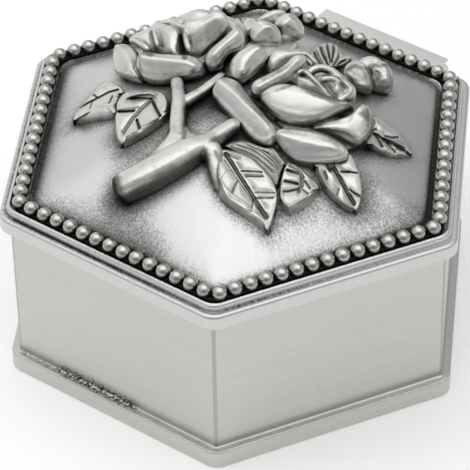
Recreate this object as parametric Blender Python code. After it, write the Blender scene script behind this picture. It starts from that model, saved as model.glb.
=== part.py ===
# Six-sided pewter trinket box: brushed body, velvet inside, and a hinged domed lid
# with a beaded border and a spray of roses. Metres, +Z up, front is -Y, hinge at +Y.
import math

import bmesh
import bpy
from mathutils import Matrix, Vector

MM = 0.001
SIDES = 6
TO_CORNER = 1.0 / math.cos(math.pi / SIDES)

# Fits
GAP = 0.3 * MM              # between pieces that seat on each other
PIN_PLAY = 0.1 * MM         # between the hinge pin and its bores

# Body
WALL_FLAT = 32.1 * MM       # axis to the outer face of a wall
WALL_THICK = 1.6 * MM
WALL_CORNER = 1.6 * MM
WALL_TOP = 27.3 * MM        # height of the wall's top edge
BASE_HEIGHT = 2.9 * MM
BASE_OVERHANG = 1.35 * MM   # beyond the wall's face
BASE_CORNER = 2.6 * MM
BASE_FILLET = 0.5 * MM
STEP_HEIGHT = 1.1 * MM      # locating step that the wall drops over

# Lid
SKIRT_OVERHANG = 1.65 * MM
SKIRT_HEIGHT = 2.5 * MM
SKIRT_CORNER = 3.2 * MM
SKIRT_FILLET = 0.5 * MM
LEDGE_WIDTH = 1.05 * MM     # lower ledge round the lid plate
PLATE_HEIGHT = 1.2 * MM
PLATE_FILLET = 0.45 * MM
BEAD_SETBACK = 1.85 * MM    # plate edge to the line of beads
BEAD_DIAMETER = 2.15 * MM
BEAD_RISE = 0.5 * MM        # bead centres above the plate
BEAD_PITCH = 2.42 * MM
BEAD_CORNER = 1.8 * MM      # bend of the line of beads at a corner
BEAD_SPACE = 0.15 * MM      # least space between beads
STRIP_WIDTH = 1.5 * MM      # flat wire that carries the beads
STRIP_DEPTH = 0.6 * MM
CHANNEL_WIDTH = 2.5 * MM    # channel for the wire and the beads' undersides
DOME_SETBACK = 1.95 * MM    # line of beads to the foot of the dome
DOME_SINK = 0.3 * MM
DOME_CORNER = 2.6 * MM
DOME_RISE = 8.5 * MM
DOME_WALL = 1.7 * MM
DOME_RINGS = (1.0, 0.92, 0.82, 0.7, 0.55, 0.38, 0.2, 0.06)
RECESS_DEPTH = 1.6 * MM     # straight mouth of the hollow under the lid

# Hinge
HINGE_WIDTH = 23.2 * MM
HINGE_REACH = 7.8 * MM      # wall face to the back edge of the leaf
AXIS_SETBACK = 1.5 * MM     # pin axis in front of the leaf's back edge
LEAF_THICK = 0.6 * MM
KNUCKLE_RADIUS = 2.3 * MM
PIN_RADIUS = 0.9 * MM
MID_KNUCKLE = 8.4 * MM      # width of the lid's knuckle
STOP_ANGLE = 105.0
BRACKET_PLATE = 1.6 * MM
BRACKET_FOOT = 8.6 * MM     # pin axis down to the foot of the bracket
HEEL_REACH = 3.3 * MM       # pin axis out to the tip of the stop heel

# Velvet
CARD_THICK = 1.0 * MM
CARD_SETBACK = 0.7 * MM     # card top below the wall top
CUSHION_HEIGHT = 2.6 * MM
CUSHION_CROWN = 0.9 * MM
CUSHION_EDGE = 1.1 * MM     # how far its rolled edge draws in
CUSHION_CORNER = 1.6 * MM
PAD_CROWN = 0.8 * MM
PAD_EDGE = 0.45 * MM        # rolled edge of the lid pad

# Rose spray
LEAF_RISE = 1.3 * MM
LEAF_FOLD = 0.7 * MM
PETAL_SQUARE = 2.6          # 2 makes a petal round in section, more makes it boxier

PEWTER = ("antique_pewter", (0.55, 0.55, 0.53), 0.38, 1.0)
PATINA = ("dark_pewter", (0.42, 0.42, 0.41), 0.42, 1.0)
BRUSHED = ("brushed_pewter", (0.60, 0.61, 0.60), 0.36, 1.0)
STEEL = ("hinge_steel", (0.62, 0.62, 0.60), 0.28, 1.0)
VELVET = ("velvet", (0.020, 0.030, 0.115), 0.95, 0.0)

# Worked out from the sizes above
WALL_INNER = WALL_FLAT - WALL_THICK
BASE_FLAT = WALL_FLAT + BASE_OVERHANG
STEP_TOP = BASE_HEIGHT + STEP_HEIGHT
STEP_FLAT = WALL_INNER - GAP
LID_FLOOR = WALL_TOP + GAP
SKIRT_FLAT = WALL_FLAT + SKIRT_OVERHANG
LEDGE_TOP = LID_FLOOR + SKIRT_HEIGHT
PLATE_FLAT = SKIRT_FLAT - LEDGE_WIDTH
PLATE_TOP = LEDGE_TOP + PLATE_HEIGHT
BEAD_FLAT = PLATE_FLAT - BEAD_SETBACK
DOME_FLAT = BEAD_FLAT - DOME_SETBACK
DOME_FOOT = PLATE_TOP - DOME_SINK
CARD_FLAT = WALL_INNER - GAP
CARD_INNER = CARD_FLAT - CARD_THICK
RECESS_FLAT = CARD_INNER
SPRAY_UNIT = DOME_FLAT / 28.9   # the spray was drawn in millimetres on a dome this wide
AXIS_Y = WALL_FLAT + HINGE_REACH - AXIS_SETBACK
AXIS_Z = LID_FLOOR - GAP - LEAF_THICK - GAP - KNUCKLE_RADIUS


def clear_scene():
    for item in list(bpy.data.objects):
        bpy.data.objects.remove(item)


def material(spec):
    name, colour, roughness, metallic = spec
    made = bpy.data.materials.get(name)
    if made:
        return made
    made = bpy.data.materials.new(name)
    made.use_nodes = True
    shader = made.node_tree.nodes["Principled BSDF"]
    shader.inputs["Base Color"].default_value = (*colour, 1.0)
    shader.inputs["Roughness"].default_value = roughness
    shader.inputs["Metallic"].default_value = metallic
    return made


def to_object(bm, name, spec, smooth=35.0):
    bmesh.ops.remove_doubles(bm, verts=bm.verts, dist=0.002 * MM)
    bmesh.ops.recalc_face_normals(bm, faces=bm.faces)
    mesh = bpy.data.meshes.new(name)
    bm.to_mesh(mesh)
    bm.free()
    mesh.shade_smooth()
    mesh.set_sharp_from_angle(angle=math.radians(smooth))
    mesh.materials.append(material(spec))
    piece = bpy.data.objects.new(name, mesh)
    bpy.context.collection.objects.link(piece)
    return piece


def boolean(target, tool, operation):
    """Applies one exact Boolean to target and removes the tool."""
    cut = target.modifiers.new(operation, "BOOLEAN")
    cut.operation = operation
    cut.object = tool
    cut.solver = "EXACT"
    graph = bpy.context.evaluated_depsgraph_get()
    result = bpy.data.meshes.new_from_object(target.evaluated_get(graph))
    target.modifiers.clear()
    target.data = result
    bpy.data.objects.remove(tool)


def span(piece):
    """Lowest and highest corner of a piece's mesh."""
    spots = [vert.co for vert in piece.data.vertices]
    return [min(s[i] for s in spots) for i in range(3)], [max(s[i] for s in spots) for i in range(3)]


def carve(target, tools):
    """Cuts each tool that reaches the target out of it, and removes the tools."""
    for tool in tools:
        low, high = span(target)
        tool_low, tool_high = span(tool)
        if all(low[i] < tool_high[i] and tool_low[i] < high[i] for i in range(3)):
            boolean(target, tool, "DIFFERENCE")
        else:
            bpy.data.objects.remove(tool)


def keep_largest(piece):
    """Drops the loose chips that a cut leaves beside the main body."""
    bm = bmesh.new()
    bm.from_mesh(piece.data)
    left = set(bm.verts)
    shells = []
    while left:
        queue = [left.pop()]
        shell = set(queue)
        while queue:
            vert = queue.pop()
            for edge in vert.link_edges:
                other = edge.other_vert(vert)
                if other in left:
                    left.discard(other)
                    shell.add(other)
                    queue.append(other)
        shells.append(shell)
    shells.sort(key=len)
    for shell in shells[:-1]:
        bmesh.ops.delete(bm, geom=list(shell), context="VERTS")
    bm.to_mesh(piece.data)
    bm.free()


# Hexagons

def corner_loop(flat, corner, arc_steps=3, side_steps=1):
    """Points of a hexagon with rounded corners; flat is the axis to a side."""
    points = []
    reach = (flat - corner) * TO_CORNER
    for side in range(SIDES):
        middle = math.radians(60 * side)
        centre = Vector((reach * math.cos(middle), reach * math.sin(middle)))
        for step in range(arc_steps + 1):
            angle = middle + math.radians(-30 + 60 * step / arc_steps)
            points.append(centre + corner * Vector((math.cos(angle), math.sin(angle))))
        after = math.radians(60 * (side + 1))
        onward = reach * Vector((math.cos(after), math.sin(after)))
        onward += corner * Vector((math.cos(after - math.radians(30)), math.sin(after - math.radians(30))))
        for step in range(1, side_steps):
            points.append(points_between(points[-1 - (step - 1)], onward, step / side_steps))
    return points


def points_between(start, end, share):
    return start + (end - start) * share


def add_loop(bm, points, height):
    """Adds a loop of corners; height is one z, or a function of x and y."""
    verts = []
    for point in points:
        z = height(point.x, point.y) if callable(height) else height
        verts.append(bm.verts.new((point.x, point.y, z)))
    return verts


def skin(bm, one, two):
    """Joins two loops of equal count with a band of faces."""
    count = len(one)
    for i in range(count):
        j = (i + 1) % count
        bm.faces.new((one[i], one[j], two[j], two[i]))


def loft(bm, loops, cap_first=True, cap_last=True):
    for one, two in zip(loops, loops[1:]):
        skin(bm, one, two)
    if cap_first:
        bm.faces.new(loops[0])
    if cap_last:
        bm.faces.new(loops[-1])


def hex_gauge(x, y, sharpness=40.0):
    """Distance measure whose level lines are softly cornered hexagons."""
    total = 0.0
    for side in range(SIDES):
        angle = math.radians(30 + 60 * side)
        along = x * math.cos(angle) + y * math.sin(angle)
        if along > 0:
            total += (along / DOME_FLAT) ** sharpness
    return DOME_FLAT * total ** (1.0 / sharpness)


def arc_drop(distance, flat, rise):
    """How far a dome of this rise has fallen at a distance from its axis."""
    radius = (flat * flat + rise * rise) / (2 * rise)
    return radius - math.sqrt(max(radius * radius - distance * distance, 0.0))


def dome_height(x, y):
    """Outer surface of the dome: hexagonal at its foot, round at its top."""
    gauge = min(hex_gauge(x, y), DOME_FLAT) if (x or y) else 0.0
    share = (gauge / DOME_FLAT) ** 2
    distance = (1 - share) * min(math.hypot(x, y), DOME_FLAT) + share * gauge
    return DOME_FOOT + DOME_RISE - arc_drop(distance, DOME_FLAT, DOME_RISE)


# Body

def base_plate():
    """Foot plate with a filleted rim and the step that centres the wall."""
    bm = bmesh.new()
    profile = [(BASE_FLAT, BASE_CORNER, 0.0), (BASE_FLAT, BASE_CORNER, BASE_HEIGHT - BASE_FILLET),
               (BASE_FLAT - 0.3 * BASE_FILLET, BASE_CORNER, BASE_HEIGHT - 0.3 * BASE_FILLET),
               (BASE_FLAT - BASE_FILLET, BASE_CORNER, BASE_HEIGHT),
               (STEP_FLAT, WALL_CORNER, BASE_HEIGHT), (STEP_FLAT, WALL_CORNER, STEP_TOP)]
    loops = [add_loop(bm, corner_loop(flat, corner), z) for flat, corner, z in profile]
    loft(bm, loops)
    return to_object(bm, "base_plate", BRUSHED)


def body_wall():
    """One six-sided tube that stands on the base plate."""
    bm = bmesh.new()
    bottom = BASE_HEIGHT + GAP
    inner_corner = max(WALL_CORNER - WALL_THICK, 0.4 * MM)
    profile = [(WALL_FLAT, WALL_CORNER, bottom), (WALL_FLAT, WALL_CORNER, WALL_TOP),
               (WALL_INNER, inner_corner, WALL_TOP), (WALL_INNER, inner_corner, bottom)]
    loops = [add_loop(bm, corner_loop(flat, corner), z) for flat, corner, z in profile]
    loft(bm, loops + loops[:1], cap_first=False, cap_last=False)
    return to_object(bm, "body_wall", BRUSHED)


def wall_card(side):
    """Velvet-covered card that lines one wall, mitred against its neighbours."""
    bottom = STEP_TOP + GAP
    top = WALL_TOP - CARD_SETBACK
    edge = 0.35 * CARD_THICK
    half = math.tan(math.pi / SIDES)
    bm = bmesh.new()
    loops = []
    for inset, z in ((0.0, bottom), (0.0, top - edge), (edge, top)):
        outer, inner = CARD_FLAT, CARD_INNER + inset
        ends = [(outer, outer * half - GAP), (inner, inner * half - GAP)]
        points = [Vector((ends[0][0], -ends[0][1])), Vector((ends[0][0], ends[0][1])),
                  Vector((ends[1][0], ends[1][1])), Vector((ends[1][0], -ends[1][1]))]
        loops.append(add_loop(bm, points, z))
    loft(bm, loops)
    bm.transform(Matrix.Rotation(math.radians(30 + 60 * side), 4, "Z"))
    return to_object(bm, "velvet_wall_card_%d" % (side + 1), VELVET)


def floor_cushion():
    """Crowned velvet cushion on the box's floor, with its sides drawn in."""
    bm = bmesh.new()
    flat, foot = CARD_INNER - GAP, STEP_TOP + GAP
    edge = CUSHION_EDGE
    steps = [(flat - 0.3 * edge, 0.0), (flat, 0.35 * CUSHION_HEIGHT), (flat - 0.1 * edge, 0.65 * CUSHION_HEIGHT),
             (flat - 0.5 * edge, 0.9 * CUSHION_HEIGHT), (flat - 1.6 * edge, CUSHION_HEIGHT)]
    loops = [add_loop(bm, corner_loop(size, CUSHION_CORNER, 2, 3), foot + rise) for size, rise in steps]
    for share in (0.8, 0.5, 0.2):
        swell = CUSHION_HEIGHT + CUSHION_CROWN * (1 - share ** 2)
        loops.append(add_loop(bm, corner_loop(share * flat, share * CUSHION_CORNER, 2, 3), foot + swell))
    loft(bm, loops)
    return to_object(bm, "velvet_floor_cushion", VELVET, smooth=60.0)


# Lid

def underside_loops(bm, lower):
    """Rings under the dome, from its middle out to the mouth of the hollow."""
    under = corner_loop(DOME_FLAT - DOME_WALL, WALL_CORNER, 3, 3)
    drop = DOME_WALL + lower
    loops = [add_loop(bm, [point * share for point in under], lambda x, y: dome_height(x, y) - drop)
             for share in (0.06, 0.25, 0.5, 0.7, 0.88)]
    shoulder = min(min(vert.co.z for vert in loops[-1]), LID_FLOOR + RECESS_DEPTH + DOME_WALL - lower)
    loops.append(add_loop(bm, [point * 0.94 for point in under], shoulder - 0.2 * DOME_WALL))
    return loops


def lid_cap():
    """Skirt, ledge, plate with the bead channel, dome, and the hollow below."""
    bm = bmesh.new()
    channel = CHANNEL_WIDTH / 2
    rim = [(RECESS_FLAT, WALL_CORNER, LID_FLOOR), (SKIRT_FLAT - 0.3 * SKIRT_FILLET, SKIRT_CORNER, LID_FLOOR),
           (SKIRT_FLAT, SKIRT_CORNER, LID_FLOOR + 0.3 * SKIRT_FILLET),
           (SKIRT_FLAT, SKIRT_CORNER, LEDGE_TOP - SKIRT_FILLET),
           (SKIRT_FLAT - 0.3 * SKIRT_FILLET, SKIRT_CORNER, LEDGE_TOP - 0.3 * SKIRT_FILLET),
           (SKIRT_FLAT - SKIRT_FILLET, SKIRT_CORNER, LEDGE_TOP),
           (PLATE_FLAT, DOME_CORNER, LEDGE_TOP), (PLATE_FLAT, DOME_CORNER, PLATE_TOP - PLATE_FILLET),
           (PLATE_FLAT - 0.3 * PLATE_FILLET, DOME_CORNER, PLATE_TOP - 0.3 * PLATE_FILLET),
           (PLATE_FLAT - PLATE_FILLET, DOME_CORNER, PLATE_TOP),
           (BEAD_FLAT + channel, DOME_CORNER, PLATE_TOP),
           (BEAD_FLAT + channel, DOME_CORNER, PLATE_TOP - STRIP_DEPTH - GAP),
           (BEAD_FLAT - channel, DOME_CORNER, PLATE_TOP - STRIP_DEPTH - GAP),
           (BEAD_FLAT - channel, DOME_CORNER, PLATE_TOP)]
    loops = [add_loop(bm, corner_loop(flat, corner, 3, 3), z) for flat, corner, z in rim]
    foot = corner_loop(DOME_FLAT, DOME_CORNER, 3, 3)
    for share in DOME_RINGS:
        loops.append(add_loop(bm, [point * share for point in foot], dome_height))
    inner = underside_loops(bm, 0.0)
    inner.append(add_loop(bm, corner_loop(RECESS_FLAT, WALL_CORNER, 3, 3), LID_FLOOR + RECESS_DEPTH))
    loft(bm, inner + loops)
    return to_object(bm, "lid_cap", PEWTER)


def bead_path(flat, corner):
    """Rounded hexagon as a fine polyline, starting at the front left corner."""
    points = corner_loop(flat, corner, 12, 24)
    start = min(range(len(points)), key=lambda i: (points[i] - points_at(flat, 240.0)).length)
    return points[start:] + points[:start]


def points_at(flat, bearing):
    reach = flat * TO_CORNER
    return Vector((reach * math.cos(math.radians(bearing)), reach * math.sin(math.radians(bearing))))


def evenly_along(points, count):
    """Equally spaced points on a closed polyline."""
    closed = points + points[:1]
    lengths = [(b - a).length for a, b in zip(closed, closed[1:])]
    pitch = sum(lengths) / count
    spots = []
    walked = 0.0
    target = 0.0
    for (a, b), length in zip(zip(closed, closed[1:]), lengths):
        while target <= walked + length and len(spots) < count:
            spots.append(a + (b - a) * ((target - walked) / length))
            target += pitch
        walked += length
    return spots


def bead_border():
    """Beaded wire: balls on a flat strip that lies in the plate's channel."""
    bm = bmesh.new()
    half = STRIP_WIDTH / 2
    low = PLATE_TOP - STRIP_DEPTH
    profile = [(BEAD_FLAT + half, low), (BEAD_FLAT + half, PLATE_TOP), (BEAD_FLAT - half, PLATE_TOP),
               (BEAD_FLAT - half, low)]
    loops = [add_loop(bm, corner_loop(flat, DOME_CORNER, 3, 1), z) for flat, z in profile]
    loft(bm, loops + loops[:1], cap_first=False, cap_last=False)
    strip = to_object(bm, "bead_border", PATINA, smooth=50.0)
    path = bead_path(BEAD_FLAT, BEAD_CORNER)
    around = sum((b - a).length for a, b in zip(path, path[1:] + path[:1]))
    count = round(around / max(BEAD_PITCH, BEAD_DIAMETER + BEAD_SPACE))
    radius = BEAD_DIAMETER / 2
    balls = bmesh.new()
    for spot in evenly_along(path, count):
        place = Matrix.Translation((spot.x, spot.y, PLATE_TOP + BEAD_RISE))
        bmesh.ops.create_uvsphere(balls, u_segments=8, v_segments=4, radius=radius, matrix=place)
    beads = to_object(balls, "beads", PATINA)
    boolean(strip, beads, "UNION")
    return strip


def lid_pad():
    """Velvet pad that fills the hollow of the lid, crowned towards the box."""
    bm = bmesh.new()
    flat = RECESS_FLAT - GAP
    loops = underside_loops(bm, GAP)
    sides = [(flat, LID_FLOOR + RECESS_DEPTH - GAP), (flat, LID_FLOOR + PAD_EDGE),
             (flat - 0.3 * PAD_EDGE, LID_FLOOR + 0.3 * PAD_EDGE), (flat - PAD_EDGE, LID_FLOOR)]
    loops += [add_loop(bm, corner_loop(size, WALL_CORNER, 3, 3), z) for size, z in sides]
    for share in (0.8, 0.5, 0.2):
        z = LID_FLOOR - PAD_CROWN * (1 - share ** 2)
        loops.append(add_loop(bm, corner_loop(share * flat, share * WALL_CORNER, 3, 3), z))
    loft(bm, loops)
    return to_object(bm, "lid_velvet_pad", VELVET, smooth=60.0)


# Hinge

def extrude_profile(bm, points, x_low, x_high):
    """Closed prism along X from a profile of (y, z) points."""
    verts = [bm.verts.new((x_low, y, z)) for y, z in points]
    face = bm.faces.new(verts)
    grown = bmesh.ops.extrude_face_region(bm, geom=[face], use_keep_orig=True)
    moved = [item for item in grown["geom"] if isinstance(item, bmesh.types.BMVert)]
    bmesh.ops.translate(bm, verts=moved, vec=(x_high - x_low, 0, 0))


def arc_points(radius, first, last, steps):
    """Points on a circle about the pin axis, as (y, z)."""
    spots = []
    for step in range(steps + 1):
        angle = math.radians(first + (last - first) * step / steps)
        spots.append((AXIS_Y + radius * math.cos(angle), AXIS_Z + radius * math.sin(angle)))
    return spots


def rod(name, radius, x_low, x_high, segments=20):
    bm = bmesh.new()
    bmesh.ops.create_cone(bm, cap_ends=True, segments=segments, radius1=radius, radius2=radius,
                          depth=x_high - x_low)
    bm.transform(Matrix.Translation(((x_low + x_high) / 2, AXIS_Y, AXIS_Z)) @ Matrix.Rotation(math.pi / 2, 4, "Y"))
    return to_object(bm, name, STEEL)


def box_tool(name, low, high):
    bm = bmesh.new()
    bmesh.ops.create_cube(bm, size=1.0)
    size = Vector(high) - Vector(low)
    centre = (Vector(high) + Vector(low)) / 2
    bm.transform(Matrix.Translation(centre) @ Matrix.Diagonal((*size, 1.0)))
    return to_object(bm, name, STEEL)


def hinge_leaf():
    """Flat leaf soldered under the skirt, with the middle knuckle below it."""
    top = LID_FLOOR - GAP
    low = top - LEAF_THICK
    front = WALL_FLAT + GAP
    back = WALL_FLAT + HINGE_REACH
    half = HINGE_WIDTH / 2
    bm = bmesh.new()
    extrude_profile(bm, [(front, low), (back, low), (back, top - 0.4 * LEAF_THICK), (back - 0.4 * LEAF_THICK, top),
                         (front, top)], -half, half)
    leaf = to_object(bm, "lid_hinge_leaf", PEWTER)
    knuckle = bmesh.new()
    web = 0.55 * KNUCKLE_RADIUS
    profile = [(AXIS_Y + web, low + 0.5 * LEAF_THICK), (AXIS_Y - web, low + 0.5 * LEAF_THICK)]
    profile += arc_points(KNUCKLE_RADIUS, 124.0, 416.0, 16)
    extrude_profile(knuckle, profile, -MID_KNUCKLE / 2, MID_KNUCKLE / 2)
    boolean(leaf, to_object(knuckle, "knuckle", PEWTER), "UNION")
    boolean(leaf, rod("bore", PIN_RADIUS + PIN_PLAY, -half, half), "DIFFERENCE")
    return leaf


def hinge_bracket():
    """Cast corbel on the back wall: two knuckles and the heel that stops the lid."""
    half = HINGE_WIDTH / 2 - GAP
    front = WALL_FLAT + GAP
    stop = math.atan2(KNUCKLE_RADIUS + GAP, AXIS_SETBACK) - math.radians(STOP_ANGLE)
    heel = math.degrees(stop) - math.degrees(GAP / (KNUCKLE_RADIUS + 2 * GAP)) - 0.6
    tip = (AXIS_Y + HEEL_REACH * math.cos(math.radians(heel)), AXIS_Z + HEEL_REACH * math.sin(math.radians(heel)))
    profile = [(front, AXIS_Z - BRACKET_FOOT), (front + BRACKET_PLATE, AXIS_Z - BRACKET_FOOT),
               (tip[0] - 0.8 * MM, tip[1] - 0.9 * MM), tip]
    profile += arc_points(KNUCKLE_RADIUS, heel, 90.0, 9)
    profile += [(front, AXIS_Z + KNUCKLE_RADIUS)]
    bm = bmesh.new()
    extrude_profile(bm, profile, -half, half)
    bracket = to_object(bm, "hinge_bracket", PEWTER)
    slot = MID_KNUCKLE / 2 + GAP
    well = front + BRACKET_PLATE
    beyond = KNUCKLE_RADIUS + HEEL_REACH
    boolean(bracket, box_tool("slot", (-slot, well, AXIS_Z - BRACKET_FOOT - beyond),
                              (slot, AXIS_Y + beyond, AXIS_Z + beyond)), "DIFFERENCE")
    boolean(bracket, rod("bore", PIN_RADIUS + PIN_PLAY, -HINGE_WIDTH, HINGE_WIDTH), "DIFFERENCE")
    return bracket


def hinge_pin():
    return rod("hinge_pin", PIN_RADIUS, -HINGE_WIDTH / 2 - 0.2 * MM, HINGE_WIDTH / 2 + 0.2 * MM)


# Rose spray. Every piece rests on the dome, and margin grows a piece for cutting its neighbours.

def above_dome(point):
    """Turns a spray point of x, y and rise above the dome into a place."""
    x, y = point[0] * SPRAY_UNIT, point[1] * SPRAY_UNIT
    return Vector((x, y, dome_height(x, y) + point[2] * SPRAY_UNIT))


def dome_tool():
    """Solid that reaches from inside the lid to a fit's gap above the dome."""
    bm = bmesh.new()
    foot = corner_loop(DOME_FLAT, DOME_CORNER, 3, 3)
    loops = [add_loop(bm, foot, LID_FLOOR)]
    for share in DOME_RINGS:
        loops.append(add_loop(bm, [point * share for point in foot], lambda x, y: dome_height(x, y) + GAP))
    loft(bm, loops)
    return to_object(bm, "dome_tool", PEWTER)


def leaf_piece(name, base, tip, width, margin=0.0, rise=LEAF_RISE, along=8, across=6):
    """Pointed leaf with raised sides, a fold along its rib and a thick rim."""
    bm = bmesh.new()
    bmesh.ops.create_grid(bm, x_segments=along, y_segments=across, size=0.5)
    start = Vector(base) * SPRAY_UNIT
    reach = (Vector(tip) - Vector(base)) * SPRAY_UNIT
    forward = reach.normalized()
    start -= forward * margin
    length = reach.length + 2 * margin
    side = Vector((-forward.y, forward.x))
    floor = GAP - margin
    for vert in bm.verts:
        share, across_share = vert.co.x + 0.5, 2 * vert.co.y
        bow = math.sin(math.pi * min(share ** 0.8, 1.0)) ** 0.8 if 0 < share < 1 else 0.0
        half = (0.09 + 0.91 * bow) * width * SPRAY_UNIT / 2 + margin
        spot = start + forward * (length * share) + side * (half * across_share)
        rim = 1.0 - 0.45 * max(0.0, abs(across_share) - 0.7) / 0.3
        height = rise * rim * (1.0 - 0.35 * share) + LEAF_FOLD * abs(across_share) * bow
        vert.co = (spot.x, spot.y, dome_height(spot.x, spot.y) + floor + height + 2 * margin)
    top = list(bm.faces)
    grown = bmesh.ops.extrude_face_region(bm, geom=top, use_keep_orig=True)
    for item in grown["geom"]:
        if isinstance(item, bmesh.types.BMVert):
            item.co.z = dome_height(item.co.x, item.co.y) + floor
    return to_object(bm, name, PEWTER)


def twig(name, path, first, last, margin=0.0, sides=8):
    """Tapered round twig that lies on the dome; path is x, y and rise above it."""
    bm = bmesh.new()
    spots = [above_dome(point) for point in path]
    loops = []
    for index, spot in enumerate(spots):
        before = spots[max(index - 1, 0)]
        after = spots[min(index + 1, len(spots) - 1)]
        forward = (after - before).normalized()
        side = Vector((0, 0, 1)).cross(forward).normalized()
        up = forward.cross(side)
        share = index / (len(spots) - 1)
        radius = (first + (last - first) * share) * SPRAY_UNIT + margin
        if index in (0, len(spots) - 1):
            spot = spot + forward * (margin if index else -margin)
        ring = []
        for step in range(sides):
            angle = 2 * math.pi * (step + 0.5) / sides
            ring.append(bm.verts.new(spot + radius * (math.cos(angle) * side + math.sin(angle) * up)))
        loops.append(ring)
    loft(bm, loops)
    return to_object(bm, name, PEWTER, smooth=50.0)


def stem_piece(name, margin=0.0):
    """Cut stem, its fork and its two side branches."""
    runs = [
        ([(-5.6, -23.5, 1.5), (-4.0, -21.2, 1.5), (-2.2, -18.6, 1.4), (-0.2, -15.6, 1.3), (2.4, -12.4, 1.1),
          (4.6, -10.6, 1.0)], 2.1, 1.3),
        ([(-0.4, -15.6, 1.2), (-2.3, -13.0, 1.2), (-4.9, -8.6, 1.1), (-7.6, -4.9, 1.0)], 1.5, 1.1),
        ([(-4.6, -9.0, 1.0), (-4.5, -5.4, 1.0), (-3.9, -2.9, 1.0)], 1.1, 0.9),
        ([(2.0, -12.6, 1.0), (3.4, -9.0, 1.0), (4.4, -6.8, 1.0)], 1.1, 0.9)]
    stem = None
    for path, first, last in runs:
        run = twig(name if stem is None else "run", path, first, last, margin)
        if stem is None:
            stem = run
        else:
            boolean(stem, run, "UNION")
    return stem


def petal(name, start, end, breadth, thick, roll, cup, blunt_start, blunt_end, margin=0.0):
    """Fat pillow of a petal from start to end; roll tips its face from flat to upright."""
    bm = bmesh.new()
    bmesh.ops.create_uvsphere(bm, u_segments=10, v_segments=8, radius=1.0)
    first, last = above_dome(start), above_dome(end)
    forward = (last - first).normalized()
    level = Vector((0, 0, 1)).cross(forward).normalized()
    turn = math.radians(roll)
    wide = math.cos(turn) * level + math.sin(turn) * forward.cross(level)
    normal = forward.cross(wide)
    centre = (first + last) / 2
    half_length = (last - first).length / 2 + margin
    half_breadth = breadth * SPRAY_UNIT / 2 + margin
    half_thick = thick * SPRAY_UNIT / 2 + margin
    for vert in bm.verts:
        along, girth = vert.co.z, math.hypot(vert.co.x, vert.co.y)
        if girth > 1e-6:
            across, above = vert.co.x / girth, vert.co.y / girth
            corner = (abs(across) ** PETAL_SQUARE + abs(above) ** PETAL_SQUARE) ** (-1 / PETAL_SQUARE)
            reach = corner * girth ** (2 / (blunt_end if along > 0 else blunt_start))
        else:
            across, above, reach = 0.0, 0.0, 0.0
        sag = cup * SPRAY_UNIT * ((reach * across) ** 2 + 0.6 * along * along)
        vert.co = (centre + forward * (half_length * along) + wide * (half_breadth * reach * across)
                   + normal * (half_thick * reach * above - sag))
    return to_object(bm, name, PEWTER, smooth=60.0)


def bloom(name, petals):
    """Petals fused into one casting."""
    flower = petal(name, *petals[0])
    for row in petals[1:]:
        boolean(flower, petal("petal", *row), "UNION")
    return flower


# Petals, in spray units: start and end as x, y and rise above the dome, then breadth, thickness,
# roll in degrees, cup, and how blunt each end is. The first of each bloom is its core.
LEFT_ROSE = [
    ((-21.6, 3.4, 2.3), (-6.2, 9, 0.2), 15.5, 5.4, 0, 0, 2, 2),
    ((-23.4, -0.4, 2.6), (-16.9, -2.8, 1.4), 5.2, 4.6, 20, 0.1, 3, 3),
    ((-17.8, -2.8, 2.5), (-6.8, 1.2, 1.3), 5, 5, 10, 0.2, 4, 2.6),
    ((-23.6, 2.2, 3.7), (-17, 3.8, 2.9), 5.6, 3.2, 60, 0.2, 2.2, 2),
    ((-20.4, 5.6, 5.3), (-12.4, 3, 2.6), 6.6, 3.2, 62, 0.2, 3, 2.2),
    ((-14.6, 3.4, 3.4), (-6.8, 10.4, 4.1), 7.4, 3.8, 62, 0.3, 1.8, 2.8),
    ((-20.4, 6.4, 5.2), (-11, 12, 5.4), 3.4, 2.8, 20, 0, 2.4, 2),
    ((-17.6, 8.6, 4.6), (-11.2, 11.2, 4.3), 5.6, 5.4, 30, 0, 2, 2),
    ((-22.4, 5.6, 3.5), (-17.4, 13.6, 3.4), 6, 3.6, -45, 0.2, 2.4, 2.4),
    ((-19, 12.8, 4.0), (-9.2, 14.6, 2.4), 6, 3.8, -45, 0.2, 2.4, 2.4),
    ((-10.2, 14.4, 2.7), (-6.8, 8.8, 2.4), 5.4, 3.4, -55, 0.2, 2.4, 2)]

MIDDLE_ROSE = [
    ((-4.6, 3.4, 0.0), (-3, 18, 1.7), 7.4, 5.2, 0, 0, 2, 2),
    ((-8.4, 1.8, 2.1), (-5, 9.6, 4.2), 4.8, 4.6, 15, 0.2, 2.8, 2.6),
    ((-3.2, 1, 1.6), (-0.2, 8.2, 3.7), 5.6, 4.8, 10, 0.2, 3, 3),
    ((-7.4, 11.4, 2.2), (-2.2, 14.8, 3.0), 6.2, 4.8, 40, 0.2, 2.4, 2.4),
    ((-5.6, 16, 1.6), (-1.4, 20.4, 2.2), 6.2, 4.6, 40, 0.2, 2.4, 2.4)]

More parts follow.
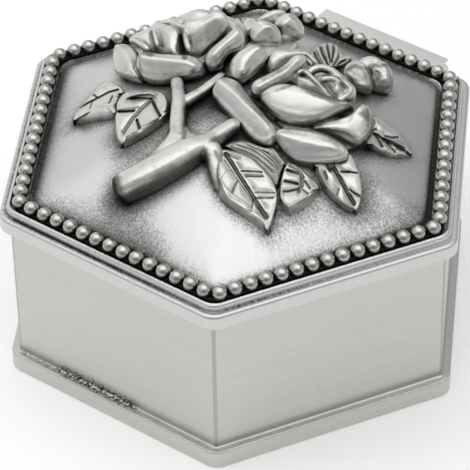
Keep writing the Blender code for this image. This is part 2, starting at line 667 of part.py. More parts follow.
RIGHT_ROSE = [
    ((0.4, 1.4, -0.5), (20, 4.2, 2.2), 14.0, 5.6, 0, 0, 2, 2),
    ((-3.4, 0.3, 1.1), (11.8, -5.5, 1.2), 5.6, 5, 10, 0.3, 4, 1.9),
    ((3.6, 0.5, 0.9), (18.4, 4.8, 4.3), 7.4, 5, 50, 0.3, 3, 1.6),
    ((9.4, -4.8, 0.6), (22, -1.3, 3.2), 6.6, 5, 35, 0.2, 2.2, 1.6),
    ((12.6, 0, 0.9), (23, 5.5, 5.0), 7.6, 5, 35, 0.2, 1.7, 3),
    ((1.4, 0, 1.5), (7, 5.8, 4.5), 4.6, 3.4, 50, 0, 3.2, 2.4),
    ((5.3, 4, 3.8), (6, 10.9, 4.4), 3.6, 3.4, 25, 0, 2.2, 2.2),
    ((-0.2, 5.2, 1.7), (4.6, 12.2, 3.8), 5.2, 3.8, 45, 0.2, 2.4, 2.4),
    ((6.8, 6, 3.0), (15.2, 3.6, 4.2), 5.2, 3, 55, 0.2, 2.2, 1.7),
    ((14.3, 3.6, 4.0), (16.6, 9, 5.5), 5.2, 2.8, 72, 0.2, 2.2, 2.2),
    ((7.8, 11, 4.0), (16.2, 9.2, 5.5), 5.4, 2.8, 78, 0.2, 2.4, 2.4),
    ((10, 5.9, 4.6), (14.8, 7.1, 5.9), 4.6, 5.4, 0, 0, 2, 2)]

ROSE_BUD = [
    ((9.2, 16.7, 2.5), (13, 12.8, 2.2), 6, 5, 35, 0.2, 2.4, 2.4),
    ((11.6, 20.2, 2.2), (15, 15.8, 1.9), 6, 5, 35, 0.2, 2.4, 2.4),
    ((8.8, 20.9, 2.0), (13, 18.2, 2.6), 4.2, 4.2, 35, 0, 2, 2)]

LEAVES = {
    "leaf_front": ((5.0, -11.2), (17.3, -17.1), 7.4),
    "leaf_shaded": ((8.2, -7.0), (15.0, -11.2), 4.6),
    "leaf_small": ((14.6, -6.8), (18.6, -13.2), 5.2),
    "leaf_right_front": ((17.6, -1.4), (25.3, -5.9), 6.8),
    "leaf_right_back": ((18.0, 8.2), (24.4, 10.0), 5.2),
    "leaf_left": ((-10.3, -5.9), (-10.1, -15.8), 8.2),
    "leaf_far_left": ((-17.2, -5.2), (-23.0, -12.0), 6.6),
    "sepal_back": ((-10.5, 15.5), (-16.5, 22.0), 5.0),
    "sepal_middle": ((-6.0, 17.5), (-10.8, 23.6), 5.0),
    "sepal_fluted": ((6.6, 13.0), (1.9, 21.6), 4.8)}

# Each leaf gives way to the ones named after it.
LEAF_ORDER = {
    "leaf_shaded": ["leaf_front", "leaf_small"],
    "leaf_small": ["leaf_right_front"],
    "leaf_far_left": ["leaf_left"],
    "sepal_middle": ["sepal_back"]}


def leaf_tool(name):
    base, tip, width = LEAVES[name]
    return leaf_piece("tool", base, tip, width, GAP)


def petal_tools(petals):
    return [petal("tool", *row, margin=GAP) for row in petals]


def spray():
    """Makes the leaves, the stem and the blooms, each cut back from what it grows round."""
    made = []
    for name, (base, tip, width) in LEAVES.items():
        leaf = leaf_piece(name, base, tip, width)
        carve(leaf, [leaf_tool(other) for other in LEAF_ORDER.get(name, [])])
        made.append(leaf)
    stem = stem_piece("rose_stem")
    carve(stem, [leaf_tool("leaf_front"), leaf_tool("leaf_left"), dome_tool()])
    made.append(stem)
    blooms = {"rose_right": RIGHT_ROSE, "rose_left": LEFT_ROSE, "rose_middle": MIDDLE_ROSE, "rose_bud": ROSE_BUD}
    earlier = []
    for name, petals in blooms.items():
        flower = bloom(name, petals)
        carve(flower, [leaf_tool(other) for other in LEAVES] + [stem_piece("tool", GAP)] + earlier_tools(earlier))
        carve(flower, [dome_tool()])
        earlier.append(petals)
        made.append(flower)
    for piece in made:
        keep_largest(piece)
    return made


def earlier_tools(earlier):
    return [tool for petals in earlier for tool in petal_tools(petals)]


def build():
    clear_scene()
    axis = bpy.data.objects.new("lid_axis", None)
    axis.location = (0, AXIS_Y, AXIS_Z)
    bpy.context.collection.objects.link(axis)
    base_plate()
    body_wall()
    for side in range(SIDES):
        wall_card(side)
    floor_cushion()
    hinge_bracket()
    hinge_pin()
    lid = [lid_cap(), bead_border(), lid_pad(), hinge_leaf()] + spray()
    for piece in lid:
        piece.parent = axis
        piece.matrix_parent_inverse = Matrix.Translation(axis.location).inverted()


build()
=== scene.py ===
import math
import random

import bmesh
import bpy
import numpy as np
from mathutils import Matrix, Vector, noise
from mathutils.bvhtree import BVHTree
from mathutils.kdtree import KDTree


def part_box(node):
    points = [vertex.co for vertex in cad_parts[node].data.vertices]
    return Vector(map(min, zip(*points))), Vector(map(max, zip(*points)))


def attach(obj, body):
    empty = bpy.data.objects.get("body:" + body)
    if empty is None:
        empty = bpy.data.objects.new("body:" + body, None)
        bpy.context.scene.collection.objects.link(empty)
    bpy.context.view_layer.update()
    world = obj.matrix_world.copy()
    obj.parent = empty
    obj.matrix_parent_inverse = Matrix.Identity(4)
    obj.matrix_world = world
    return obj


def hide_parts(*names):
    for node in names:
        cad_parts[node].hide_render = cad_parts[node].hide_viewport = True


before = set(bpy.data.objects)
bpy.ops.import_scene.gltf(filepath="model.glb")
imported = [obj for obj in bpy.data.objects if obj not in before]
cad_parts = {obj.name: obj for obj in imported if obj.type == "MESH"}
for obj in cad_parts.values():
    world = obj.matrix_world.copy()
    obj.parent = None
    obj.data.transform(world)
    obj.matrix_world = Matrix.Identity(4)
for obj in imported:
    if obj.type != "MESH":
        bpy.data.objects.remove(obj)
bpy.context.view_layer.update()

print("Rose trinket box: frame loaded")

mm = 0.001
collection = bpy.context.scene.collection


# Small helpers for meshes

def linkMesh(name, bm):
    # a new object of the bmesh, which is used up
    mesh = bpy.data.meshes.new(name)
    bm.to_mesh(mesh)
    bm.free()
    made = bpy.data.objects.new(name, mesh)
    collection.objects.link(made)
    return made


def keepPiece(name, bm, material, body, nodes, smooth):
    # turns a bmesh into a piece that rides on a body and stands for CAD nodes
    piece = linkMesh(name, bm)
    piece.data.shade_smooth()
    if smooth < 180:
        piece.data.set_sharp_from_angle(angle=math.radians(smooth))
    piece.data.materials.append(material)
    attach(piece, body)
    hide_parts(*nodes)
    return piece


def bakedMesh(made):
    # what the object's modifiers make of its mesh
    return bpy.data.meshes.new_from_object(made.evaluated_get(bpy.context.evaluated_depsgraph_get()))


def tidyMesh(bm, merge=1e-6):
    bmesh.ops.remove_doubles(bm, verts=bm.verts, dist=merge)
    bmesh.ops.recalc_face_normals(bm, faces=bm.faces)


def startRing(bm, spots):
    ring = bmesh.ops.create_circle(bm, segments=len(spots), radius=mm)["verts"]
    for vert, spot in zip(ring, spots):
        vert.co = spot
    return ring


def nextRing(bm, ring, spots):
    # extrudes a closed ring of edges and puts the new one on its spots
    edges = [bm.edges.get((vert, ring[i - 1])) for i, vert in enumerate(ring)]
    grown = bmesh.ops.extrude_edge_only(bm, edges=edges)["geom"]
    fresh = {item for item in grown if isinstance(item, bmesh.types.BMVert)}
    moved = [next(edge.other_vert(vert) for edge in vert.link_edges if edge.other_vert(vert) in fresh)
             for vert in ring]
    for twin, spot in zip(moved, spots):
        twin.co = spot
    return moved


def growRings(bm, rings, capped=False):
    # a skin over rings of places, with a face at either end if it is capped
    ring = startRing(bm, rings[0])
    if capped:
        bmesh.ops.contextual_create(bm, geom=ring)
    for spots in rings[1:]:
        ring = nextRing(bm, ring, spots)
    if capped:
        bmesh.ops.contextual_create(bm, geom=ring)


def setAttribute(piece, name, values):
    held = piece.data.attributes.get(name) or piece.data.attributes.new(name, "FLOAT", "POINT")
    held.data.foreach_set("value", np.asarray(values, dtype=np.float32))


def meshPoints(mesh, key="co"):
    spots = np.empty(len(mesh.vertices) * 3)
    mesh.vertices.foreach_get(key, spots)
    return spots.reshape(-1, 3)


def smoothStep(low, high, value):
    # rises from 0 at low to 1 at high, eased at both ends; numbers or arrays
    share = np.clip((value - low) / (high - low), 0, 1)
    return share * share * (3 - 2 * share)


# Sizes that everything hangs on, read from the frame

wallLow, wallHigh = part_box("body_wall")
_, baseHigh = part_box("base_plate")
capLow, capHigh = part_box("lid_cap")

shell = {
    "wallFlat": wallHigh.y,          # axis to the face of a wall
    "wallThick": 1.6 * mm,
    "wallCorner": 0.5 * mm,
    "wallBottom": wallLow.z,
    "wallTop": wallHigh.z,
    "baseFlat": baseHigh.y,
    "baseHeight": wallLow.z - 0.05 * mm,
    "baseCorner": 2.6 * mm,
    "stepTop": baseHigh.z,
    "skirtFlat": capHigh.y,
    "skirtCorner": 3.2 * mm,
    "lidFloor": capLow.z,
    "skirtHeight": 2.5 * mm,
    "ledgeWidth": 1.05 * mm,
    "plateHeight": 1.2 * mm,
    "domeCorner": 2.6 * mm,
    "domeRise": 8.5 * mm,
    "domeWall": 1.7 * mm,
    "hollowCorner": 1.6 * mm,        # corners of what the lid is hollow for
    "arcSteps": 10,                  # points round each corner
    "sideSteps": 36}                 # points along each side

shell["ledgeTop"] = shell["lidFloor"] + shell["skirtHeight"]
shell["plateFlat"] = shell["skirtFlat"] - shell["ledgeWidth"]
shell["plateTop"] = shell["ledgeTop"] + shell["plateHeight"]
shell["beadFlat"] = shell["plateFlat"] - 1.85 * mm
shell["domeFlat"] = shell["beadFlat"] - 1.95 * mm
shell["domeFoot"] = shell["plateTop"] - 0.3 * mm
shell["lining"] = shell["wallFlat"] - shell["wallThick"] - 1.3 * mm   # inner face of the velvet cards


def hexOutline(flat, corner, arcSteps=None, sideSteps=None):
    # a hexagon with rounded corners, which starts at the back left corner
    arcSteps = arcSteps or shell["arcSteps"]
    sideSteps = sideSteps or shell["sideSteps"]
    reach = (flat - corner) / math.cos(math.pi / 6)
    points = []
    for side in range(2, 8):
        middle = math.radians(60 * side)
        centre = Vector((math.cos(middle), math.sin(middle))) * reach
        for step in range(arcSteps + 1):
            angle = middle + math.radians(60 * step / arcSteps - 30)
            points.append(centre + corner * Vector((math.cos(angle), math.sin(angle))))
        onward = math.radians(60 * side + 60)
        corn = Vector((math.cos(onward), math.sin(onward))) * reach
        onward -= math.radians(30)
        corn += corner * Vector((math.cos(onward), math.sin(onward)))
        start = points[-1]
        points += [start.lerp(corn, step / sideSteps) for step in range(1, sideSteps)]
    return points


def hexRing(flat, corner, z):
    return [Vector((spot.x, spot.y, z)) for spot in hexOutline(flat, corner)]


def quarter(steps):
    # (sine, cosine) in steps over a quarter turn
    angles = [math.pi / 2 * step / steps for step in range(steps + 1)]
    return [(math.sin(angle), math.cos(angle)) for angle in angles]


def fillet(flat, corner, z, radius, steps=4):
    # (flat, corner, z) rows round an outer edge, from the side face over to the flat one
    return [(flat - radius * (1 - cosine), corner, z + radius * (sine - 1))
            for sine, cosine in quarter(steps)]


def hexGauge(x, y, sharpness=40.0):
    # how far out a place is, as the half width of the hexagon through it; numbers or arrays
    total = 0.0
    for side in range(6):
        angle = math.radians(30 + 60 * side)
        along = np.maximum(x * math.cos(angle) + y * math.sin(angle), 0.0)
        total = total + (along / shell["domeFlat"]) ** sharpness
    return shell["domeFlat"] * total ** (1.0 / sharpness)


def domeHeight(x, y):
    # hexagonal at the foot of the dome and round at its top
    flat, rise = shell["domeFlat"], shell["domeRise"]
    gauge = np.minimum(hexGauge(x, y), flat)
    share = (gauge / flat) ** 2
    distance = (1 - share) * np.minimum(np.hypot(x, y), flat) + share * gauge
    radius = (flat * flat + rise * rise) / (2 * rise)
    drop = radius - np.sqrt(np.maximum(radius * radius - distance * distance, 0.0))
    return shell["domeFoot"] + rise - drop


def domeRing(outline, share, drop=0.0):
    # the outline, shrunk to a share of its size, on the dome or so far below it
    return [Vector((x * share, y * share, domeHeight(x * share, y * share) - drop)) for x, y in outline]


# Materials

def addNode(tree, kind, inputs=None, **settings):
    made = tree.nodes.new(kind)
    for key, value in settings.items():
        setattr(made, key, value)
    for key, value in (inputs or {}).items():
        if isinstance(value, bpy.types.NodeSocket):
            tree.links.new(value, made.inputs[key])
        else:
            made.inputs[key].default_value = value
    return made


def mathNode(tree, operation, first, second=0.0, third=None, clamp=False):
    inputs = {0: first, 1: second}
    if third is not None:
        inputs[2] = third
    return addNode(tree, "ShaderNodeMath", inputs, operation=operation, use_clamp=clamp).outputs[0]


def addUp(tree, base, *terms):
    # base, with each (value, weight) added in turn
    for value, weight in terms:
        base = mathNode(tree, "MULTIPLY_ADD", value, weight, base)
    return base


def vectorNode(tree, operation, *vectors):
    made = addNode(tree, "ShaderNodeVectorMath", dict(enumerate(vectors)), operation=operation)
    return made.outputs["Value" if operation in ("LENGTH", "DOT_PRODUCT") else "Vector"]


def noiseNode(tree, vector, scale, detail=4.0, rough=0.6, distortion=0.0):
    made = addNode(tree, "ShaderNodeTexNoise", {"Vector": vector, "Scale": scale, "Detail": detail,
                                                "Roughness": rough, "Distortion": distortion})
    return made.outputs["Fac"]


def swingNode(tree, *values):
    # the same noise, to either side of zero
    return mathNode(tree, "SUBTRACT", noiseNode(tree, *values), 0.5)


def ramp(tree, value, low, high, first=0.0, last=1.0, soft=True):
    made = addNode(tree, "ShaderNodeMapRange", {"Value": value, "From Min": low, "From Max": high,
                                                "To Min": first, "To Max": last},
                   interpolation_type="SMOOTHSTEP" if soft else "LINEAR")
    return made.outputs["Result"]


def mixColour(tree, factor, first, second):
    made = addNode(tree, "ShaderNodeMix", data_type="RGBA")
    for socket, value in ((made.inputs[0], factor), (made.inputs[6], first), (made.inputs[7], second)):
        if isinstance(value, bpy.types.NodeSocket):
            tree.links.new(value, socket)
        elif isinstance(value, tuple):
            socket.default_value = (*value, 1.0)
        else:
            socket.default_value = value
    return made.outputs[2]


def attributeNode(tree, name):
    return addNode(tree, "ShaderNodeAttribute", attribute_name=name, attribute_type="GEOMETRY").outputs["Fac"]


def newMaterial(name, **constants):
    material = bpy.data.materials.new(name)
    material.use_nodes = True
    tree = material.node_tree
    shader = tree.nodes["Principled BSDF"]
    for key, value in constants.items():
        shader.inputs[key.replace("_", " ")].default_value = value
    return material, tree, shader


def plugIn(tree, shader, **sockets):
    for key, value in sockets.items():
        tree.links.new(value, shader.inputs[key.replace("_", " ")])


def bumpNode(tree, height, strength, distance):
    return addNode(tree, "ShaderNodeBump", {"Height": height, "Strength": strength,
                                            "Distance": distance}).outputs["Normal"]


castLook = {
    "metallic": 1.0,
    "bright": (0.70, 0.703, 0.68),
    "middle": (0.235, 0.231, 0.218),
    "dark": (0.030, 0.028, 0.025),
    "brightRough": 0.41,
    "darkRough": 0.62,
    "shade": (-0.10, 0.56),      # where the dulling, partly painted shade, starts, and where it is full
    "patina": (0.20, 0.60),      # and the same for the black in the hollows
    "grain": 0.52,
    "bump": 0.30}


def castPewter(name, look):
    # cast and tumbled metal: bright where it is worn, dulled by painted shade from nearby surfaces and from
    # painted strokes, lighter where strokes paint highlights, and black with patina in its hollows
    material, tree, shader = newMaterial(name, Metallic=look["metallic"])
    coords = addNode(tree, "ShaderNodeTexCoord").outputs["Object"]
    fine = swingNode(tree, coords, 2600, 5, 0.75)
    patch = swingNode(tree, coords, 330, 4, 0.6)
    blot = swingNode(tree, coords, 950, 3, 0.6)
    patinaAndPaintedLight = attributeNode(tree, "patinaAndPaintedLight")
    # the dulling: painted shade from nearby surfaces and from the strokes, with random tone and patina; wear
    # and painted highlights lift it
    dullFilmAndShade = addUp(tree, attributeNode(tree, "shade"), (patch, 0.85), (blot, 0.5), (patinaAndPaintedLight, 1.25),
                 (fine, look["grain"]), (attributeNode(tree, "wear"), -0.35))
    dull = ramp(tree, dullFilmAndShade, *look["shade"])
    # black: patina in the hollows, with some painted shade from the strokes
    blackPatinaAndShade = addUp(tree, attributeNode(tree, "grime"), (fine, look["grain"]), (patch, 0.35), (patinaAndPaintedLight, 0.42))
    share = ramp(tree, blackPatinaAndShade, *look["patina"])
    colour = mixColour(tree, share, mixColour(tree, dull, look["bright"], look["middle"]), look["dark"])
    roughness = ramp(tree, share, 0.0, 1.0, look["brightRough"], look["darkRough"], soft=False)
    pits = addUp(tree, noiseNode(tree, coords, 1500, 4, 0.65), (noiseNode(tree, coords, 480, 2, 0.5), 2.6))
    plugIn(tree, shader, Base_Color=colour, Roughness=addUp(tree, roughness, (patch, 0.12)),
           Normal=bumpNode(tree, pits, look["bump"], 0.00006))
    return material


wallLook = {
    "bright": (0.615, 0.62, 0.597),
    "dark": (0.30, 0.30, 0.285),
    "footHighlight": (0.94, 0.94, 0.92),    # painted highlight just above the foot
    "crumb": (0.07, 0.07, 0.065),    # pits in the solder
    "roughness": 0.34,
    "lines": 3400,               # brush lines to the metre, up the wall
    "streak": 45,                # and how short they are
    "speck": 1800,
    "sideSpan": 0.2,             # metres of the pattern kept for each side
    "cornerGap": (0.42 * mm, 0.28 * mm)}     # from a corner, where its dark line starts and is full


def brushedPewter(name, look):
    # long fine lines from a belt, a few dark specks, a dark line at each corner, and a painted highlight, a
    # bright band, just above the foot
    material, tree, shader = newMaterial(name, Metallic=1.0)
    coords = addNode(tree, "ShaderNodeTexCoord").outputs["Object"]
    around, depth = attributeNode(tree, "around"), attributeNode(tree, "across")

    def drawnOut(streak, lines, layer):
        return addNode(tree, "ShaderNodeCombineXYZ", {"X": mathNode(tree, "MULTIPLY", around, streak),
                                                      "Y": mathNode(tree, "MULTIPLY", depth, lines),
                                                      "Z": layer}).outputs[0]

    brush = noiseNode(tree, drawnOut(look["streak"], look["lines"], 0.0), 1.0, 6, 0.75)
    swing = mathNode(tree, "SUBTRACT", brush, 0.5)
    bands = swingNode(tree, drawnOut(60, 420, 3.0), 1.0, 3, 0.6)
    specks = ramp(tree, noiseNode(tree, coords, look["speck"], 2, 0.5), 0.70, 0.78)
    crumbs = ramp(tree, noiseNode(tree, coords, 3000, 3, 0.6), 0.47, 0.55)
    crumb = mathNode(tree, "MULTIPLY", crumbs, attributeNode(tree, "solder"))
    side = mathNode(tree, "ABSOLUTE", mathNode(tree, "WRAP", around,
                                               look["sideSpan"] / 2, -look["sideSpan"] / 2))
    start, full = (shell["wallFlat"] * math.tan(math.pi / 6) - gap for gap in look["cornerGap"])
    corner = mathNode(tree, "MULTIPLY", ramp(tree, side, start, full), attributeNode(tree, "corner"))
    tone = addUp(tree, 0.10, (swing, 0.48), (bands, 0.12), (specks, 0.5), (corner, 0.5))
    tone = mathNode(tree, "MULTIPLY_ADD", attributeNode(tree, "grime"), 1.2, tone, clamp=True)
    # painted highlight: a bright band just above the foot, in place of the wall's darker reflection of the
    # base
    foot = mathNode(tree, "MULTIPLY", attributeNode(tree, "foot"), 0.45)
    dirty = mixColour(tree, tone, mixColour(tree, foot, look["bright"], look["footHighlight"]), look["dark"])
    share = mathNode(tree, "MULTIPLY", crumb, 1.0, clamp=True)
    relief = addUp(tree, brush, (specks, -0.6), (crumb, -9.0))
    plugIn(tree, shader, Base_Color=mixColour(tree, share, dirty, look["crumb"]),
           Roughness=addUp(tree, look["roughness"], (swing, 0.16)),
           Normal=bumpNode(tree, relief, 0.35, 0.00003))
    return material


domeLook = {
    "bright": (0.655, 0.66, 0.65),
    "middle": (0.21, 0.204, 0.196),
    "dark": (0.035, 0.032, 0.028),
    "brightRough": 0.38,
    "darkRough": 0.60,
    "spokes": 130,               # how fine the brushing out from the middle is
    "grain": 1.7,
    "dullFilmAndShade": (0.08, 1.05),
    "patina": (0.90, 1.60)}


def domePewter(name, look):
    # brushed outwards from the middle, with grainy patina near the spray and the beads, and dulled by painted
    # shade from nearby surfaces, which also holds the dome patches' painted shadow and darker painted
    # reflections
    material, tree, shader = newMaterial(name, Metallic=1.0)
    coords = addNode(tree, "ShaderNodeTexCoord").outputs["Object"]
    flatter = vectorNode(tree, "MULTIPLY", coords, (1.0, 1.0, 0.0))
    bearing = vectorNode(tree, "NORMALIZE", flatter)
    distance = vectorNode(tree, "LENGTH", flatter)
    lift = addNode(tree, "ShaderNodeCombineXYZ", {"Z": mathNode(tree, "MULTIPLY", distance, 90)}).outputs[0]
    lines = vectorNode(tree, "ADD", vectorNode(tree, "MULTIPLY", bearing, (look["spokes"],) * 3), lift)
    brush = swingNode(tree, lines, 1.0, 5, 0.7)
    grain = swingNode(tree, coords, 2900, 4, 0.8)
    patch = swingNode(tree, coords, 170, 4, 0.6)
    shade = attributeNode(tree, "shade")
    rough = ramp(tree, shade, 0.05, 0.5, 0.25, 1.0)
    dullFilmAndShade = addUp(tree, shade, (mathNode(tree, "MULTIPLY", grain, rough), look["grain"]),
                 (brush, 0.22), (patch, 0.22))
    dull = addUp(tree, ramp(tree, dullFilmAndShade, *look["dullFilmAndShade"]), (brush, 0.28))
    dull = mathNode(tree, "MULTIPLY_ADD", grain, 0.30, dull, clamp=True)
    share = ramp(tree, mathNode(tree, "ADD", attributeNode(tree, "grime"), dullFilmAndShade), *look["patina"])
    colour = mixColour(tree, share, mixColour(tree, dull, look["bright"], look["middle"]), look["dark"])
    roughness = ramp(tree, dull, 0.0, 1.0, look["brightRough"], look["darkRough"], soft=False)
    plugIn(tree, shader, Base_Color=colour, Roughness=addUp(tree, roughness, (brush, 0.12)),
           Normal=bumpNode(tree, addUp(tree, brush, (grain, 0.6)), 0.35, 0.00003))
    return material


velvetLook = {
    "pile": (0.016, 0.022, 0.085),
    "crushed": (0.040, 0.055, 0.17),
    "sheen": (0.35, 0.45, 0.95)}


def velvetCloth(name, look):
    material, tree, shader = newMaterial(name, Roughness=0.9, Sheen_Weight=0.9, Sheen_Roughness=0.35)
    shader.inputs["Sheen Tint"].default_value = (*look["sheen"], 1.0)
    shader.inputs["Specular IOR Level"].default_value = 0.1
    coords = addNode(tree, "ShaderNodeTexCoord").outputs["Object"]
    nap = noiseNode(tree, coords, 150, 3, 0.6, 0.4)
    pile = noiseNode(tree, coords, 4200, 3, 0.7)
    share = addUp(tree, nap, (mathNode(tree, "SUBTRACT", pile, 0.5), 0.5))
    plugIn(tree, shader,
           Base_Color=mixColour(tree, ramp(tree, share, 0.35, 0.75), look["pile"], look["crushed"]),
           Normal=bumpNode(tree, pile, 0.5, 0.00012))
    return material


bodyMetal = brushedPewter("brushedBody", wallLook)
lidMetal = domePewter("brushedLid", domeLook)
castMetal = castPewter("castSpray", castLook)
beadMetal = castPewter("castBeads", {**castLook, "shade": (0.20, 0.85), "patina": (0.34, 0.72),
                                     "bright": (0.54, 0.54, 0.52), "brightRough": 0.19})
hingeMetal = castPewter("castHinge", {**castLook, "shade": (0.3, 1.0), "patina": (0.35, 0.9),
                                      "bright": (0.74, 0.74, 0.72), "brightRough": 0.33, "metallic": 0.5})
velvet = velvetCloth("midnightVelvet", velvetLook)
print("Materials ready")


# Body: wall and base

bodyValues = {
    "ease": 0.1 * mm,            # bottom edge of the wall
    "rimFillet": 0.25 * mm,
    "innerCorner": 0.5 * mm,
    "baseFillet": 0.28 * mm,
    "solder": 0.42 * mm,         # the seam between wall and foot
    "stepCorner": 1.3 * mm,
    "footHighlightReach": 0.55 * mm}    # how far up the wall the painted highlight above the foot fades


def markBrush(piece):
    # how far round, and how far up or in, each point is
    spots = meshPoints(piece.data)
    around = []
    for x, y, z in spots:
        side = int(math.degrees(math.atan2(y, x)) % 360 // 60)
        middle = math.radians(60 * side + 30)
        around.append(-x * math.sin(middle) + y * math.cos(middle) + side * wallLook["sideSpan"])
    setAttribute(piece, "around", around)
    setAttribute(piece, "across", [z + 0.7 * hexGauge(x, y) for x, y, z in spots])


def bodyShell(name, node, rows):
    # a closed skin through (flat, corner, z) rows, brushed along its sides
    bm = bmesh.new()
    growRings(bm, [hexRing(*row) for row in rows])
    tidyMesh(bm)
    piece = keepPiece(name, bm, bodyMetal, "box", [node], 40.0)
    markBrush(piece)
    return piece


def wallPiece():
    flat, corner, ease = shell["wallFlat"], shell["wallCorner"], bodyValues["ease"]
    inner, inside = flat - shell["wallThick"], bodyValues["innerCorner"]
    bottom, top = shell["wallBottom"], shell["wallTop"]
    rows = [(inner, inside, bottom), (flat - ease, corner, bottom), (flat, corner, bottom + ease)]
    rows += [(flat, corner, bottom + rise * mm) for rise in (0.3, 0.5, 0.8, 1.2)]
    rows += [(flat, corner, bottom + (top - bottom) * step / 12) for step in range(1, 12)]
    rows += fillet(flat, corner, top, bodyValues["rimFillet"])
    rows += [(inner + 0.2 * mm, inside, top), (inner, inside, top - 0.2 * mm), rows[0]]
    piece = bodyShell("bodyWall", "body_wall", rows)
    heights = meshPoints(piece.data)[:, 2] - bottom
    setAttribute(piece, "corner", np.ones(len(heights)))
    # the mask of the painted highlight above the foot, fading upwards
    setAttribute(piece, "foot", np.exp(-np.maximum(heights - 0.2 * mm, 0) / bodyValues["footHighlightReach"]))
    return piece


def basePiece():
    flat, corner, height = shell["baseFlat"], shell["baseCorner"], shell["baseHeight"]
    inner, inside = shell["wallFlat"] - shell["wallThick"] - 0.3 * mm, bodyValues["stepCorner"]
    solder = bodyValues["solder"]
    rows = [(size * flat, size * corner, 0.0) for size in (0.0, 0.5, 0.9)]
    rows += [(flat - 0.3 * mm, corner, 0.0), (flat - 0.08 * mm, corner, 0.09 * mm), (flat, corner, 0.3 * mm),
             (flat, corner, 0.5 * height)]
    rows += fillet(flat, corner, height, bodyValues["baseFillet"])
    foot = shell["wallFlat"] - 0.03 * mm      # a hollow fillet of solder up to the wall
    rows += [(foot + solder * (1 - sine), shell["wallCorner"], height + solder * (1 - cosine))
             for sine, cosine in quarter(4)]
    rows += [(inner, inside, height + solder), (inner, inside, height),
             (inner, inside, shell["stepTop"] - 0.15 * mm), (inner - 0.15 * mm, inside, shell["stepTop"])]
    rows += [(size * inner, size * mm, shell["stepTop"]) for size in (0.9, 0.5, 0.0)]
    return bodyShell("basePlate", "base_plate", rows)


wall = wallPiece()
base = basePiece()
print("Body made")


# Lid: skirt, ledge, plate, bead channel, dome and its hollow

lidValues = {
    "skirtFillet": 0.5 * mm,
    "plateFillet": 0.5 * mm,
    "channelWidth": 2.5 * mm,
    "channelDepth": 0.9 * mm,
    "domeRings": 90,
    "recessDepth": 1.6 * mm}


def lidPiece():
    values = lidValues
    corner = shell["domeCorner"]
    floor, ledge, plate = shell["lidFloor"], shell["ledgeTop"], shell["plateTop"]
    skirt, plateFlat, bead = shell["skirtFlat"], shell["plateFlat"], shell["beadFlat"]
    half = values["channelWidth"] / 2
    rows = [(shell["lining"], shell["hollowCorner"], floor), (skirt - 0.2 * mm, shell["skirtCorner"], floor),
            (skirt, shell["skirtCorner"], floor + 0.2 * mm), (skirt, shell["skirtCorner"], floor + 1.2 * mm)]
    rows += fillet(skirt, shell["skirtCorner"], ledge, values["skirtFillet"], 5)
    rows += [(plateFlat + 0.3 * mm, corner, ledge), (plateFlat + 0.1 * mm, corner, ledge),
             (plateFlat, corner, ledge + 0.1 * mm), (plateFlat, corner, ledge + 0.35 * mm)]
    rows += fillet(plateFlat, corner, plate, values["plateFillet"], 6)
    rows += [(bead + half + 0.12 * mm, corner, plate), (bead + half, corner, plate - 0.12 * mm),
             (bead + half, corner, plate - values["channelDepth"]),
             (bead - half, corner, plate - values["channelDepth"]), (bead - half, corner, plate - 0.1 * mm),
             (bead - half - 0.1 * mm, corner, plate)]
    foot = hexOutline(shell["domeFlat"], corner)
    under = hexOutline(shell["domeFlat"] - shell["domeWall"], shell["hollowCorner"])
    count = values["domeRings"]
    inside = [domeRing(under, share, shell["domeWall"]) for share in (0.0, 0.2, 0.4, 0.6, 0.8, 0.94)]
    inside.append(hexRing(shell["lining"], shell["hollowCorner"], floor + values["recessDepth"]))
    outside = ([hexRing(*row) for row in rows]
               + [domeRing(foot, 1 - step / count) for step in range(count + 1)])
    bm = bmesh.new()
    growRings(bm, inside + outside)
    tidyMesh(bm)
    return keepPiece("lidCap", bm, lidMetal, "lid", ["lid_cap"], 35.0)


lid = lidPiece()
print("Lid made")


# Beads on their wire

beadValues = {
    "radius": 1.15 * mm,
    "rise": 0.5 * mm,
    "pitch": 2.42 * mm,
    "bend": 1.8 * mm,
    "around": 20,
    "rows": 13,
    "uneven": 0.02,              # share of the radius
    "wobble": 0.03,              # millimetres up or down
    "wireHalf": 0.75 * mm,
    "wireDepth": 0.6 * mm,
    "wireEase": 0.1 * mm}


def evenly(points, count):
    # so many places at equal steps round a loop
    closed = points + points[:1]
    lengths = [(b - a).length for a, b in zip(closed, closed[1:])]
    pitch = sum(lengths) / count
    spots, walked, target = [], 0.0, 0.0
    for a, b, length in zip(closed, closed[1:], lengths):
        while target <= walked + length and len(spots) < count:
            spots.append(a.lerp(b, (target - walked) / length))
            target += pitch
        walked += length
    return spots


